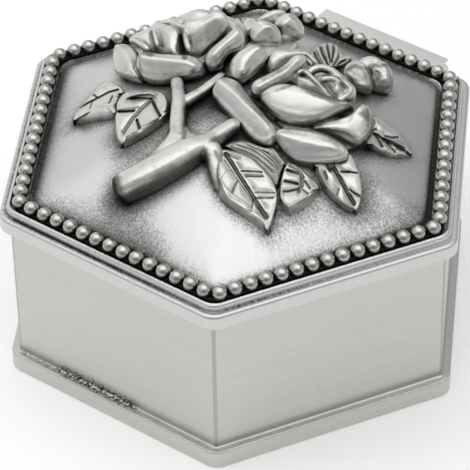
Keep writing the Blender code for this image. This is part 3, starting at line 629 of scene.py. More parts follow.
def beadPiece():
    values = beadValues
    rng = random.Random(7)
    path = hexOutline(shell["beadFlat"], values["bend"], 12, 24)
    # the first bead is at the front left corner
    start = Vector((-0.5, -0.866)) * shell["beadFlat"] / math.cos(math.pi / 6)
    first = min(range(len(path)), key=lambda i: (path[i] - start).length)
    path = path[first:] + path[:first]
    around = sum((b - a).length for a, b in zip(path, path[1:] + path[:1]))
    bm = bmesh.new()
    top, bend, ease = shell["plateTop"], shell["domeCorner"], values["wireEase"]
    low = top - values["wireDepth"]
    inner, outer = shell["beadFlat"] - values["wireHalf"], shell["beadFlat"] + values["wireHalf"]
    wire = [(outer, bend, low), (outer, bend, top - ease), (outer - ease, bend, top),
            (inner + ease, bend, top), (inner, bend, top - ease), (inner, bend, low)]
    growRings(bm, [hexRing(*row) for row in wire + wire[:1]])
    bmesh.ops.remove_doubles(bm, verts=bm.verts, dist=1e-6)
    for spot in evenly(path, round(around / values["pitch"])):
        size = values["radius"] * (1 + rng.uniform(-1, 1) * values["uneven"])
        height = top + values["rise"] + rng.uniform(-values["wobble"], values["wobble"]) * mm
        turn = Matrix.Rotation(rng.uniform(0, 6.28), 4, "Z") @ Matrix.Rotation(rng.uniform(-0.3, 0.3), 4, "X")
        bmesh.ops.create_uvsphere(bm, u_segments=values["around"], v_segments=values["rows"], radius=size,
                                  matrix=Matrix.Translation((spot.x, spot.y, height)) @ turn)
    bmesh.ops.recalc_face_normals(bm, faces=bm.faces)
    return keepPiece("beadBorder", bm, beadMetal, "lid", ["bead_border"], 50.0)


beads = beadPiece()
beadHeight = (meshPoints(beads.data)[:, 2] - shell["plateTop"]) / mm
# black patina at each bead's foot, and painted shade: each bead is darker towards its lower half
beadPatinaAndShade = 1.6 * np.clip((0.12 - beadHeight) / 0.3, 0, 1) + 0.85 * np.clip(1.3 - beadHeight, 0, 1)
setAttribute(beads, "patinaAndPaintedLight", beadPatinaAndShade)
print("Beads made")


# Camera, at the photograph's angle

cameraValues = {
    "azimuth": 36.65,
    "elevation": 40.41,
    "roll": -1.0,
    "distance": 472.0,
    "frame": 470,                # pixels across the photograph
    "focal": 3005.0,             # in the same pixels
    "shift": (-1.13, 9.72)}


def cameraAxes():
    # across, upward and back, and the place of the camera
    azimuth, elevation = math.radians(cameraValues["azimuth"]), math.radians(cameraValues["elevation"])
    back = Vector((math.sin(azimuth) * math.cos(elevation), -math.cos(azimuth) * math.cos(elevation),
                   math.sin(elevation)))
    right = (-back).cross(Vector((0, 0, 1))).normalized()
    up = right.cross(-back)
    roll = math.radians(cameraValues["roll"])
    across = math.cos(roll) * right + math.sin(roll) * up
    upward = -math.sin(roll) * right + math.cos(roll) * up
    shift = cameraValues["shift"]
    place = (shift[0] * across + shift[1] * upward + cameraValues["distance"] * back) * mm
    return across, upward, back, place


def makeCamera():
    data = bpy.data.cameras.new("photoCamera")
    data.sensor_width = 36
    data.lens = cameraValues["focal"] / cameraValues["frame"] * data.sensor_width
    data.clip_start = 0.01
    camera = bpy.data.objects.new("photoCamera", data)
    collection.objects.link(camera)
    camera.matrix_world = Matrix.Translation(eye) @ Matrix((across, upward, back)).transposed().to_4x4()
    bpy.context.scene.camera = camera


# Spray of roses. Places are (x, y, rise above the dome) in millimetres, and outlines are
# where a petal's edge is seen in the photograph's frame, put on the petal's own plane.

sprayUnit = shell["domeFlat"] / 28.9
across, upward, back, eye = cameraAxes()
halfFrame, pixel = cameraValues["frame"] / 2, 1 / cameraValues["focal"]


def aboveDome(place):
    x, y = place[0] * sprayUnit, place[1] * sprayUnit
    return Vector((x, y, domeHeight(x, y) + place[2] * sprayUnit))


def sightLine(spot):
    return (across * ((spot[0] - halfFrame) * pixel)
            + upward * ((halfFrame - spot[1]) * pixel) - back).normalized()


def onPlane(spot, middle, normal):
    line = sightLine(spot)
    return eye + line * ((middle - eye).dot(normal) / line.dot(normal))


def onDome(spot, rise=0.0):
    # where the line of sight meets the dome, raised by so many millimetres
    line = sightLine(spot)
    level = shell["domeFoot"] + 5 * mm
    for _ in range(12):
        place = eye + line * ((level - eye.z) / line.z)
        level = domeHeight(place.x, place.y) + rise * sprayUnit
    return place


def onDomeAll(px, py, rises):
    # the same for arrays
    lines = np.outer((px - halfFrame) * pixel, across) + np.outer((halfFrame - py) * pixel, upward)
    lines -= np.array(back)
    level = np.full(len(px), shell["domeFoot"] + 5 * mm)
    for _ in range(14):
        places = np.array(eye) + lines * ((level - eye.z) / lines[:, 2])[:, None]
        level = domeHeight(places[:, 0], places[:, 1]) + rises * sprayUnit
    return places


def curvePoint(before, here, after, beyond, t):
    # a smooth curve through four places, a share t of the way from here to after
    return 0.5 * (2 * here + (after - before) * t + (2 * before - 5 * here + 4 * after - beyond) * t * t
                  + (3 * here - before - 3 * after + beyond) * t ** 3)


def closedCurve(points, count):
    # an even, smooth loop through the points
    fine = []
    for i in range(len(points)):
        four = [Vector(points[(i + k) % len(points)]) for k in (-1, 0, 1, 2)]
        fine += [curvePoint(*four, step / 12) for step in range(12)]
    return evenly(fine, count)


def smoothPath(points, steps=8):
    padded = [2 * points[0] - points[1]] + list(points) + [2 * points[-1] - points[-2]]
    made = []
    for i in range(1, len(padded) - 2):
        made += [curvePoint(*padded[i - 1:i + 3], step / steps) for step in range(steps)]
    return made + [points[-1].copy()]


def nearestShare(spot, spine, lengths):
    best, share, walked = None, 0.0, 0.0
    for a, b, length in zip(spine, spine[1:], lengths):
        t = min(max((spot - a).dot(b - a) / max(length * length, 1e-12), 0.0), 1.0)
        gap = (spot - a.lerp(b, t)).length
        if best is None or gap < best:
            best, share = gap, walked + t * length
        walked += length
    return share


def alongSpine(share, spine, lengths):
    for a, b, length in zip(spine, spine[1:], lengths):
        if share <= length:
            return a.lerp(b, share / max(length, 1e-12))
        share -= length
    return spine[-1].copy()


petalValues = {
    "grow": 0.7,                 # pixels that the smoothing takes off again
    "points": 84,
    "evening": 4,                # rounds of evening out what each point of the edge rises to
    "rows": (5, 6, 6),           # below, round the edge, and up to the ridge
    "square": 3.0}               # how square the plain ones are


def tracedPetal(bm, ends, outline, ridge, front, deep, crown=0.35, edge=0.4, crease=0.3, tilt=8, sink=0.0):
    # a pillow whose widest section is the outline: a rounded edge, then facets that rise to the ridge
    count = petalValues["points"]
    first, last = (aboveDome(end) for end in ends)
    forward = (last - first).normalized()
    lean = math.radians(tilt)
    toward = math.cos(lean) * back + math.sin(lean) * upward
    normal = (toward - forward * toward.dot(forward)).normalized()
    middle = (first + last) / 2 - back * (sink * sprayUnit)
    loop = closedCurve(outline, count)
    heart = sum(loop, Vector((0, 0))) / count
    rim = []
    for i, spot in enumerate(loop):
        run = (loop[(i + 1) % count] - loop[i - 1]).normalized()
        outward = Vector((run.y, -run.x))
        if outward.dot(spot - heart) < 0:
            outward = -outward
        rim.append(onPlane(spot + outward * petalValues["grow"], middle, normal))
    spine = [onPlane(spot, middle, normal) for spot in ridge]
    lengths = [(b - a).length for a, b in zip(spine, spine[1:])]
    shares = [nearestShare(spot, spine, lengths) for spot in rim]
    for _ in range(petalValues["evening"]):
        shares = [(shares[i - 1] + 2 * shares[i] + shares[(i + 1) % count]) / 4 for i in range(count)]
    feet = [alongSpine(share, spine, lengths) for share in shares]
    below, rounded, upper = petalValues["rows"]
    # rows of the share of the way in to the ridge, and the height
    rows = [(0.9 * (1 - cosine), -deep * sine) for sine, cosine in quarter(below)[:0:-1]]
    rows += [(edge * (1 - cosine), front * (1 - crown) * sine) for sine, cosine in quarter(rounded)]
    for step in range(1, upper + 1):
        share = step / upper
        swell = (1 - crease) * share * (2 - share) + crease * share
        rows.append((edge + (1 - edge) * share, front * (1 - crown + crown * swell)))
    rings = [[spot.lerp(foot, inward) + normal * (rise * sprayUnit) for spot, foot in zip(rim, feet)]
             for inward, rise in rows]
    growRings(bm, rings, capped=True)


def petalBody(bm, start, end, breadth, thick, roll=0, cup=0, bluntStart=2, bluntEnd=2):
    # a fat plain pillow, for what lies under the traced petals
    steps, square = 40, petalValues["square"]
    made = bmesh.ops.create_uvsphere(bm, u_segments=steps, v_segments=steps - 6, radius=1.0)["verts"]
    first, last = aboveDome(start), aboveDome(end)
    forward = (last - first).normalized()
    level = Vector((0, 0, 1)).cross(forward).normalized()
    turn = math.radians(roll)
    wide = math.cos(turn) * level + math.sin(turn) * forward.cross(level)
    normal = forward.cross(wide)
    heart = (first + last) / 2
    halfLength = (last - first).length / 2
    halfBreadth, halfThick = breadth * sprayUnit / 2, thick * sprayUnit / 2
    for vert in made:
        along, girth = vert.co.z, math.hypot(vert.co.x, vert.co.y)
        side = above = reach = 0.0
        if girth > 1e-6:
            side, above = vert.co.x / girth, vert.co.y / girth
            corner = (abs(side) ** square + abs(above) ** square) ** (-1 / square)
            reach = corner * girth ** (2 / (bluntEnd if along > 0 else bluntStart))
        sag = cup * sprayUnit * ((reach * side) ** 2 + 0.6 * along * along)
        vert.co = (heart + forward * (halfLength * along) + wide * (halfBreadth * reach * side)
                   + normal * (halfThick * reach * above - sag))


def bandBody(bm, rows, square=2.4, sides=20, facing=False):
    # a band swept through rows of (place, breadth, thick)
    spots = smoothPath([row[0] for row in rows])
    count = len(spots) - 1
    rings = []
    for index, spot in enumerate(spots):
        share = index / count * (len(rows) - 1)
        one = min(int(share), len(rows) - 2)
        blend = share - one
        breadth, thick = (rows[one][k] * (1 - blend) + rows[one + 1][k] * blend for k in (1, 2))
        forward = (spots[min(index + 1, count)] - spots[max(index - 1, 0)]).normalized()
        wide = (back if facing else Vector((0, 0, 1))).cross(forward).normalized()
        normal = forward.cross(wide)
        cap = min(index, count - index)
        size = (0.05, 0.62, 0.88, 0.97)[cap] if cap < 4 else 1.0
        ring = []
        for side in range(sides):
            angle = 2 * math.pi * side / sides
            corner = (abs(math.cos(angle)) ** square + abs(math.sin(angle)) ** square) ** (-1 / square)
            ring.append(spot + size * corner * sprayUnit / 2 * (wide * (math.cos(angle) * breadth)
                                                                 + normal * (math.sin(angle) * thick)))
        rings.append(ring)
    growRings(bm, rings, capped=True)


def lipBody(bm, rows, breadth, thick):
    # a rolled lip seen along (x, y, rise) of the photograph's frame
    bandBody(bm, [(onDome(row[:2], row[2]), breadth, thick) for row in rows], facing=True)


castValues = {
    "rounds": 5,                 # of smoothing
    "factor": 0.5,
    "ripples": [(420, 0.05), (1100, 0.018)]}     # waves to the metre, and millimetres high


def castPiece(name, bm, node, voxel):
    # melts overlapping bodies into one casting
    tidyMesh(bm, 1e-7)
    rough = linkMesh(name + "Parts", bm)
    melt = rough.modifiers.new("melt", "REMESH")
    melt.mode = "VOXEL"
    melt.voxel_size = voxel * 1.0
    melted = bakedMesh(rough)
    bpy.data.objects.remove(rough)
    bm = bmesh.new()
    bm.from_mesh(melted)
    bpy.data.meshes.remove(melted)
    for _ in range(castValues["rounds"]):
        bmesh.ops.smooth_vert(bm, verts=bm.verts, factor=castValues["factor"],
                              use_axis_x=True, use_axis_y=True, use_axis_z=True)
    dropChips(bm)
    bmesh.ops.recalc_face_normals(bm, faces=bm.faces)
    bm.normal_update()
    for vert in bm.verts:
        ripple = sum(noise.noise(vert.co * scale) * height for scale, height in castValues["ripples"])
        vert.co += vert.normal * (ripple * mm)
    return keepPiece(name, bm, castMetal, "lid", [node], 180)


def dropChips(bm):
    # keeps the largest shell only
    left = set(bm.verts)
    shells = []
    while left:
        queue = [left.pop()]
        found = set(queue)
        while queue:
            for edge in queue.pop().link_edges:
                for other in edge.verts:
                    if other in left:
                        left.discard(other)
                        found.add(other)
                        queue.append(other)
        shells.append(found)
    shells.sort(key=len)
    for found in shells[:-1]:
        bmesh.ops.delete(bm, geom=list(found), context="VERTS")


leftRose = {
    "cores": [
        ((-21.0, 3.8, 1.0), (-6.6, 9, -0.2), 13.4, 4.6),
        ((-17.6, 8.6, 3.8), (-11.2, 11.2, 3.6), 5.6, 5.4, 30, 0, 2, 2),
        ((-22.0, 5.6, 3.0), (-17.4, 13.2, 3.0), 5.4, 3.6, -45, 0.2, 2.4, 2.4),
        ((-18.6, 12.8, 3.4), (-9.2, 14.4, 2.2), 5.6, 3.8, -45, 0.2, 2.4, 2.4),
        ((-10.2, 14.2, 2.5), (-6.8, 8.8, 2.0), 5.0, 3.4, -55, 0.2, 2.4, 2)],
    "petals": [
        {"ends": ((-17.8, -2.8, 2.3), (-6.8, 1.2, 1.5)), "front": 2.2, "deep": 3.2, "crease": 0.2,
         "outline": [(140, 58), (143, 54), (150, 53.5), (160, 55), (175, 56), (187, 56), (195, 58),
                     (201, 62), (203.5, 68), (201, 74), (194, 78), (185, 80), (172, 83.5), (160, 85),
                     (150, 83), (143, 78), (138.5, 68)],
         "ridge": [(146, 60), (160, 62), (176, 64), (190, 65.5), (198, 69)]},
        {"ends": ((-23.4, -0.4, 2.4), (-16.9, -2.8, 1.6)), "front": 1.6, "deep": 2.6, "crease": 0.5,
         "outline": [(116, 55), (118, 50), (123, 47.5), (129, 47), (134, 49.5), (138, 54), (139.5, 60),
                     (139, 70), (139, 79), (132, 78.5), (124, 76), (117, 73), (115, 64)],
         "ridge": [(121, 51), (127, 57), (133, 63), (136, 69), (136, 75)]},
        {"ends": ((-23.0, 2.2, 3.3), (-18, 3.4, 3.1)), "front": 0.9, "deep": 2.6,
         "crease": 0.3, "tilt": 18,
         "outline": [(130, 42), (133, 37.5), (139, 33.5), (146, 31), (151, 29), (153, 36), (156, 46),
                     (154, 51), (148, 52), (142, 48), (136, 46)],
         "ridge": [(136, 39), (144, 40), (150, 44)]},
        {"ends": ((-20.4, 5.0, 4.3), (-12.8, 3, 2.9)), "front": 1.3, "deep": 2.8,
         "crease": 0.1, "tilt": 0, "crown": 0.3, "edge": 0.35,
         "outline": [(152, 31), (154, 26.5), (160, 24.5), (168, 26), (175, 28.5), (179.5, 32), (179.5, 40),
                     (178.5, 50), (178, 56), (172, 55), (163, 53), (157, 50), (155, 42)],
         "ridge": [(160, 30), (168, 33), (173, 40), (175, 50)]},
        {"ends": ((-14.6, 3.8, 3.0), (-6.8, 10.4, 4.1)), "front": 1.5, "deep": 3.0,
         "crease": 0.1, "tilt": 0, "crown": 0.3, "edge": 0.35,
         "outline": [(182, 29), (186, 23), (195, 20.5), (203, 18.5), (210, 14), (217, 11.5), (223, 13),
                     (228, 19), (228.5, 26), (225, 34), (217, 42), (210, 47), (205, 53), (200, 59),
                     (193, 58.5), (188, 52), (185.5, 42), (183, 34)],
         "ridge": [(194, 48), (194, 36), (203, 27), (216, 19)]},
        {"ends": ((-20.0, 6.8, 4.7), (-14, 9, 4.7)), "front": 0.7, "deep": 2.2, "crease": 0.3, "tilt": 10,
         "outline": [(154, 28), (157, 23.5), (164, 20.5), (172, 18.8), (180, 19.5), (187, 22), (186, 28),
                     (180, 31), (172, 28), (163, 27)],
         "ridge": [(160, 25), (169, 23), (180, 24)]}],
    "lips": [
        ([(131.5, 41, 3.7), (136, 42, 4.0), (141, 44.5, 4.0), (146, 48, 3.7), (149, 51.5, 3.2)], 1.0, 1.3),
        ([(154, 29, 5.4), (156, 38, 4.6), (158, 47, 3.8)], 0.7, 1.0),
        ([(171, 22.5, 5.6), (177, 25, 5.6), (182, 28, 5.3), (184.5, 33, 5.0), (186.5, 42, 4.4),
          (190, 52, 3.6)], 0.9, 1.2),
        ([(178, 18.5, 4.9), (185, 16.3, 4.9), (192, 16.3, 4.8), (203, 17.5, 4.6)], 0.8, 1.0),
        ([(206, 17, 4.6), (212, 13.3, 4.5), (219, 11.2, 4.2)], 0.6, 1.0)],
    "voxel": 0.15 * mm}

middleRose = {
    "cores": [
        ((-4.6, 3.4, -0.2), (-3, 18, 1.4), 6.8, 4.6)],
    "petals": [
        {"ends": ((-8.4, 1.8, 2.1), (-5, 9.6, 4.0)), "front": 2.1, "deep": 3.0, "crease": 0.15,
         "outline": [(232, 31), (236, 29.8), (240, 32), (243, 37), (244, 43), (242, 48), (236, 51.5),
                     (229, 54), (224, 60), (221, 66), (215, 70), (209, 69.5), (205, 64), (206, 57),
                     (211, 50), (218, 44), (225, 38)],
         "ridge": [(236, 36), (228, 43), (219, 51), (212, 58)]},
        {"ends": ((-3.2, 1, 1.6), (-0.2, 8.2, 3.7)), "front": 2.3, "deep": 3.0, "crease": 0.2,
         "outline": [(237, 54.5), (245, 49.5), (252, 47), (260, 48.5), (266, 53), (267, 59), (262, 66),
                     (256, 72), (249, 78), (243, 82), (235, 81.5), (230, 78), (229, 70), (232, 61)],
         "ridge": [(256, 52), (247, 58), (241, 65), (240, 75)]},
        {"ends": ((-7.4, 11.4, 2.6), (-2.2, 14.8, 3.2)), "front": 1.9, "deep": 2.6,
         "crease": 0.45, "tilt": 0,
         "outline": [(251, 36), (251, 30), (254, 25), (258, 21.5), (263, 21), (270, 23), (276, 27),
                     (280, 33), (281, 40), (279, 45), (270, 46.5), (260, 48), (253, 44)],
         "ridge": [(254, 40), (259, 34), (265, 28.5), (271, 27)]},
        {"ends": ((-5.6, 16, 2.6), (-1.4, 20.4, 3.0)), "front": 1.9, "deep": 2.6, "crease": 0.4, "tilt": 0,
         "outline": [(275, 26), (278, 20), (283, 16), (288, 14), (293, 15.5), (298, 20), (302, 26),
                     (303, 32), (301, 38), (294, 41.5), (285, 43), (281, 38), (279, 31)],
         "ridge": [(281, 25), (287, 19.5), (293, 24), (296, 33)]},
        {"ends": ((-8.6, 15.6, 2.2), (-4.6, 19, 2.4)), "front": 0.8, "deep": 2.0,
         "crease": 0.5, "tilt": 20,
         "outline": [(258, 21), (262, 17), (268, 13), (275, 11), (283, 11.5), (285, 14), (281, 18),
                     (275, 22), (266, 23)],
         "ridge": [(264, 18.5), (273, 14), (281, 13)]}],
    "lips": [],
    "voxel": 0.14 * mm}

rightRose = {
    "cores": [
        ((1.6, 2.6, -1.5), (18.6, 4.8, 0.1), 11.0, 4.6),
        ((-2.4, 0.0, -0.5), (12.0, -4.6, -0.4), 4.6, 3.2),
        ((10.0, -4.0, -0.5), (21.0, -0.6, 0.2), 5.4, 3.4),
        ((2.0, -2.0, -1.2), (18.0, 1.6, -0.8), 6.5, 3.0),
        ((8.4, 6.8, 1.8), (15.0, 7.6, 2.4), 6.4, 4.0),
        ((2.0, 7.2, 1.0), (12, 10.6, 2.0), 5.4, 4.0)],
    "petals": [
        {"ends": ((-3.4, 0.3, 1.2), (11.8, -5.5, 1.2)), "front": 2.2, "deep": 2.4, "crease": 0.45,
         "outline": [(218, 88), (220, 84), (226, 81), (233, 81.5), (240, 85), (246, 93), (254, 104),
                     (262, 113), (270, 123), (276, 130), (277, 137), (273, 145), (266, 148), (257, 145.5),
                     (248, 139), (238, 128), (228, 117), (219, 108), (214, 98)],
         "ridge": [(222, 88), (231, 95), (241, 103), (251, 113), (261, 122), (271, 132)]},
        {"ends": ((9.4, -4.8, 1.0), (22, -1.3, 2.8)), "front": 2.1, "deep": 2.8, "crease": 0.35,
         "outline": [(277.5, 132), (284, 130), (296, 129), (308, 130.5), (318, 132.5), (328, 136),
                     (337, 141), (344, 146.5), (348, 153), (346, 159), (338, 162.5), (326, 164), (312, 165),
                     (297, 163.5), (287, 157), (280, 147), (276, 139)],
         "ridge": [(283, 138), (292, 141), (304, 145), (318, 147.5), (333, 150)]},
        {"ends": ((3.6, 0.5, 1.6), (18.4, 4.8, 4.0)), "front": 2.1, "deep": 3.0,
         "crease": 0.0, "tilt": 19, "crown": 0.14, "edge": 0.45,
         "outline": [(261, 99), (266, 94), (273, 89.5), (282, 86.8), (291, 86.5), (301, 88.5), (312, 92),
                     (322, 96), (332, 100), (343, 104), (354, 107), (350, 111), (341, 115), (331, 119),
                     (320, 123), (308, 126), (296, 125.5), (284, 122.5), (274, 116.5), (266, 108)],
         "ridge": [(272, 98), (286, 99), (302, 102), (318, 106), (336, 108)]},
        {"ends": ((12.6, 0.6, 1.6), (22.4, 5.5, 4.6)), "front": 1.9, "deep": 3.0, "crease": 0.5, "tilt": 0,
         "outline": [(312, 129), (320, 125.5), (331, 121.5), (341, 118.5), (350, 115), (356, 110),
                     (361, 105.5), (366, 105.5), (370, 111), (371, 120), (369.5, 130), (365, 138),
                     (358, 145), (350, 144.5), (341, 139), (331, 134), (321, 131)],
         "ridge": [(325, 127.5), (338, 127), (348, 129), (355, 133), (360, 139)]},
        {"ends": ((1.4, 1, 2.2), (6.6, 7.4, 4.4)), "front": 1.5, "deep": 2.8, "crease": 0.4, "tilt": 4,
         "outline": [(252, 92.5), (251.5, 87), (255, 81.5), (263, 77.5), (272, 73), (280, 69), (287, 63.5),
                     (292.5, 58), (298, 55.5), (304, 57.5), (305, 63), (301, 69), (296, 76), (290, 83),
                     (281, 87.5), (272, 91), (264, 95.5), (257, 97.5)],
         "ridge": [(258, 88), (268, 83), (279, 78), (287, 73), (295, 63)]},
        {"ends": ((-0.2, 5.6, 2.0), (4.6, 12.2, 3.4)), "front": 1.3, "deep": 2.6, "crease": 0.4, "tilt": 6,
         "outline": [(267, 66), (267.5, 60), (271, 54.5), (277, 51), (287, 50.5), (298, 50.5), (306, 53.5),
                     (309, 59), (302, 63), (293, 66), (283, 69), (272, 72)],
         "ridge": [(271, 65), (276, 59), (284, 55), (298, 54)]},
        {"ends": ((6.8, 6, 3.4), (15.2, 3.6, 4.2)), "front": 1.1, "deep": 2.6, "crease": 0.4, "tilt": 6,
         "outline": [(291, 83), (295, 76), (300, 72), (306, 72.5), (312, 78), (319, 85), (327, 92),
                     (335, 98), (331, 101), (322, 99), (311, 94), (300, 88.5)],
         "ridge": [(298, 80), (308, 84), (320, 91), (330, 97)]},
        {"ends": ((8.6, 9.4, 4.3), (15.6, 7.6, 4.7)), "front": 0.5, "deep": 3.0,
         "edge": 0.5, "crown": 0.1, "sink": 0.7,
         "outline": [(308, 74), (310, 70), (316, 67), (323, 66.3), (331, 69), (338, 74), (345, 82),
                     (352, 87), (354, 94), (350, 100), (341, 102), (333, 99), (324, 91), (314, 82)],
         "ridge": [(318, 74), (330, 80), (342, 92)]},
        {"ends": ((14.6, 4.4, 4.5), (16.6, 8.0, 5.0)), "front": 0.9, "deep": 2.4,
         "edge": 0.35, "crown": 0.6, "crease": 0.6, "tilt": 0,
         "outline": [(336, 99.5), (341, 95), (345, 89), (347.5, 84), (352, 85.5), (355, 90), (355, 96),
                     (351, 101), (343, 102.5)],
         "ridge": [(341, 98.5), (347, 94), (350, 88)]},
        {"ends": ((11, 6.2, 4.8), (14.8, 6.6, 5.4)), "front": 1.3, "deep": 2.6,
         "crease": 0.1, "tilt": 8, "crown": 0.45, "edge": 0.3,
         "outline": [(316.5, 79), (321, 76.3), (328, 75.8), (336, 76.8), (341.5, 80), (343.5, 86),
                     (343, 92), (340, 97.5), (335, 97.5), (329, 92.5), (322, 86)],
         "ridge": [(323, 80), (331, 81), (337, 86), (338, 92)]}],
    "lips": [
        ([(297, 74, 4.9), (302, 71, 5.2), (307, 73, 5.3), (313, 78.5, 5.3), (321, 86, 5.1), (329, 93, 4.8),
          (336, 99, 4.4)], 0.55, 1.0),
        ([(309.5, 77, 4.5), (310.5, 72.5, 5.0), (314.5, 69.7, 5.4), (321, 68.3, 5.7), (328, 69.8, 5.9),
          (334.5, 74, 6.1), (341, 80, 6.3), (347, 85.5, 6.2), (350.5, 90.5, 5.9), (349.5, 96, 5.4),
          (344, 99.5, 5.0)], 1.25, 2.0),
        ([(321, 80.5, 6.1), (326, 78.6, 6.4), (332, 78.6, 6.6), (337.5, 80.5, 6.6), (340, 85, 6.4)],
         0.75, 1.0),
        ([(298, 57.3, 5.2), (303, 57.5, 5.3), (308, 61, 5.0), (312, 66, 4.6)], 0.65, 1.2),
        ([(288, 51.2, 3.6), (299, 51.3, 4.0), (307, 54.5, 4.2), (313, 60, 4.1), (317, 65, 3.9)], 0.6, 1.2)],
    "voxel": 0.15 * mm}

roseBud = {
    "cores": [
        ((8.2, 19.6, 0.4), (12.0, 20.6, 0.2), 3.2, 2.4)],
    "petals": [
        {"ends": ((9.2, 16.7, 2.6), (13.6, 12.4, 0.9)), "front": 1.7, "deep": 2.4,
         "crease": 0.2, "tilt": 0,
         "outline": [(344, 74), (346, 68), (351, 64.5), (357, 63.5), (363, 66), (368, 70), (371, 76),
                     (372, 83), (371.5, 89.5), (364, 90), (356, 87.5), (350, 83), (345, 78.5)],
         "ridge": [(350, 80), (355, 74), (360, 69.5), (364, 71)]},
        {"ends": ((11.6, 19.8, 2.4), (15.8, 15.2, 0.7)), "front": 1.6, "deep": 2.4,
         "crease": 0.2, "tilt": 0,
         "outline": [(369, 70), (374, 67), (381, 64), (387, 66.5), (391, 72.5), (392.5, 80), (391, 87),
                     (384, 89), (376, 89.5), (371.5, 87.5), (371, 79)],
         "ridge": [(374, 74), (381, 70), (386, 75), (386, 83)]},
        {"ends": ((8.8, 20.6, 2.2), (13, 18.2, 2.6)), "front": 0.9, "deep": 2.2, "crease": 0.4, "tilt": 14,
         "outline": [(358, 66), (362, 61), (369, 58.5), (377, 59.5), (382, 63.5), (379, 67), (372, 69.5),
                     (364, 69)],
         "ridge": [(364, 65), (370, 62), (377, 63)]}],
    "lips": [],
    "voxel": 0.12 * mm}


def rosePiece(name, node, values):
    bm = bmesh.new()
    for row in values["cores"]:
        petalBody(bm, *row)
    for petal in values["petals"]:
        tracedPetal(bm, **petal)
    for path, breadth, thick in values["lips"]:
        lipBody(bm, path, breadth, thick)
    return castPiece(name, bm, node, values["voxel"])


roses = [rosePiece(*row) for row in (
    ("roseLeft", "rose_left", leftRose), ("roseMiddle", "rose_middle", middleRose),
    ("roseRight", "rose_right", rightRose), ("roseBud", "rose_bud", roseBud))]
print("Roses made")


stemValues = {
    # (x, y, rise of the axis, thickness)
    "runs": [
        [(114, 193.5, 1.4, 3.9), (131, 185, 1.6, 4.3), (150, 175.5, 1.6, 4.4), (165, 167, 1.5, 4.4),
         (180, 158.5, 1.4, 4.3), (193, 151, 1.4, 3.9), (204, 146, 1.3, 3.4), (215, 138.5, 1.2, 2.6),
         (226, 130.5, 1.2, 2.2), (239, 122, 1.1, 2.0)],
        [(146, 172, 1.1, 2.2), (160, 160, 1.2, 2.8), (171, 149, 1.2, 3.0), (177, 137, 1.1, 2.6),
         (178, 124, 1.0, 2.0)],
        [(181, 126, 0.8, 1.6), (186, 140, 1.1, 2.6), (196, 144, 1.1, 2.8), (210, 138, 0.9, 2.0)],
        [(185, 156, 1.2, 2.4), (179, 146, 1.2, 2.4), (177, 134, 1.1, 2.3), (177.5, 118, 1.1, 2.2),
         (179, 103, 1.1, 2.2), (178, 90, 1.1, 2.0), (176, 79, 1.1, 1.9)],
        [(179, 105, 1.0, 1.6), (190, 99, 1.0, 1.6), (203, 91, 1.0, 1.5), (214, 83, 1.0, 1.5),
         (225, 74, 1.0, 1.5)],
        [(196, 151, 1.3, 3.4), (206, 148, 1.3, 3.3), (212, 152.5, 1.3, 2.9), (214.5, 162, 1.1, 2.4),
         (215, 173, 0.8, 2.0), (219, 186, 0.5, 1.5), (227, 197, 0.2, 1.1)]],
    "square": 2.9,
    "voxel": 0.13 * mm}


def stemPiece():
    bm = bmesh.new()
    for run in stemValues["runs"]:
        bandBody(bm, [(onDome(row[:2], row[2]), row[3], row[3]) for row in run], stemValues["square"])
    return castPiece("roseStem", bm, "rose_stem", stemValues["voxel"])


stem = stemPiece()
print("Stem made")


# Leaves drawn over the photograph's frame. The wall is the side that shows: its direction, its width and
# how steep it starts. Strokes are (path, half width, height in millimetres, patina and painted shade, and
# below zero a painted highlight), grooves below zero.

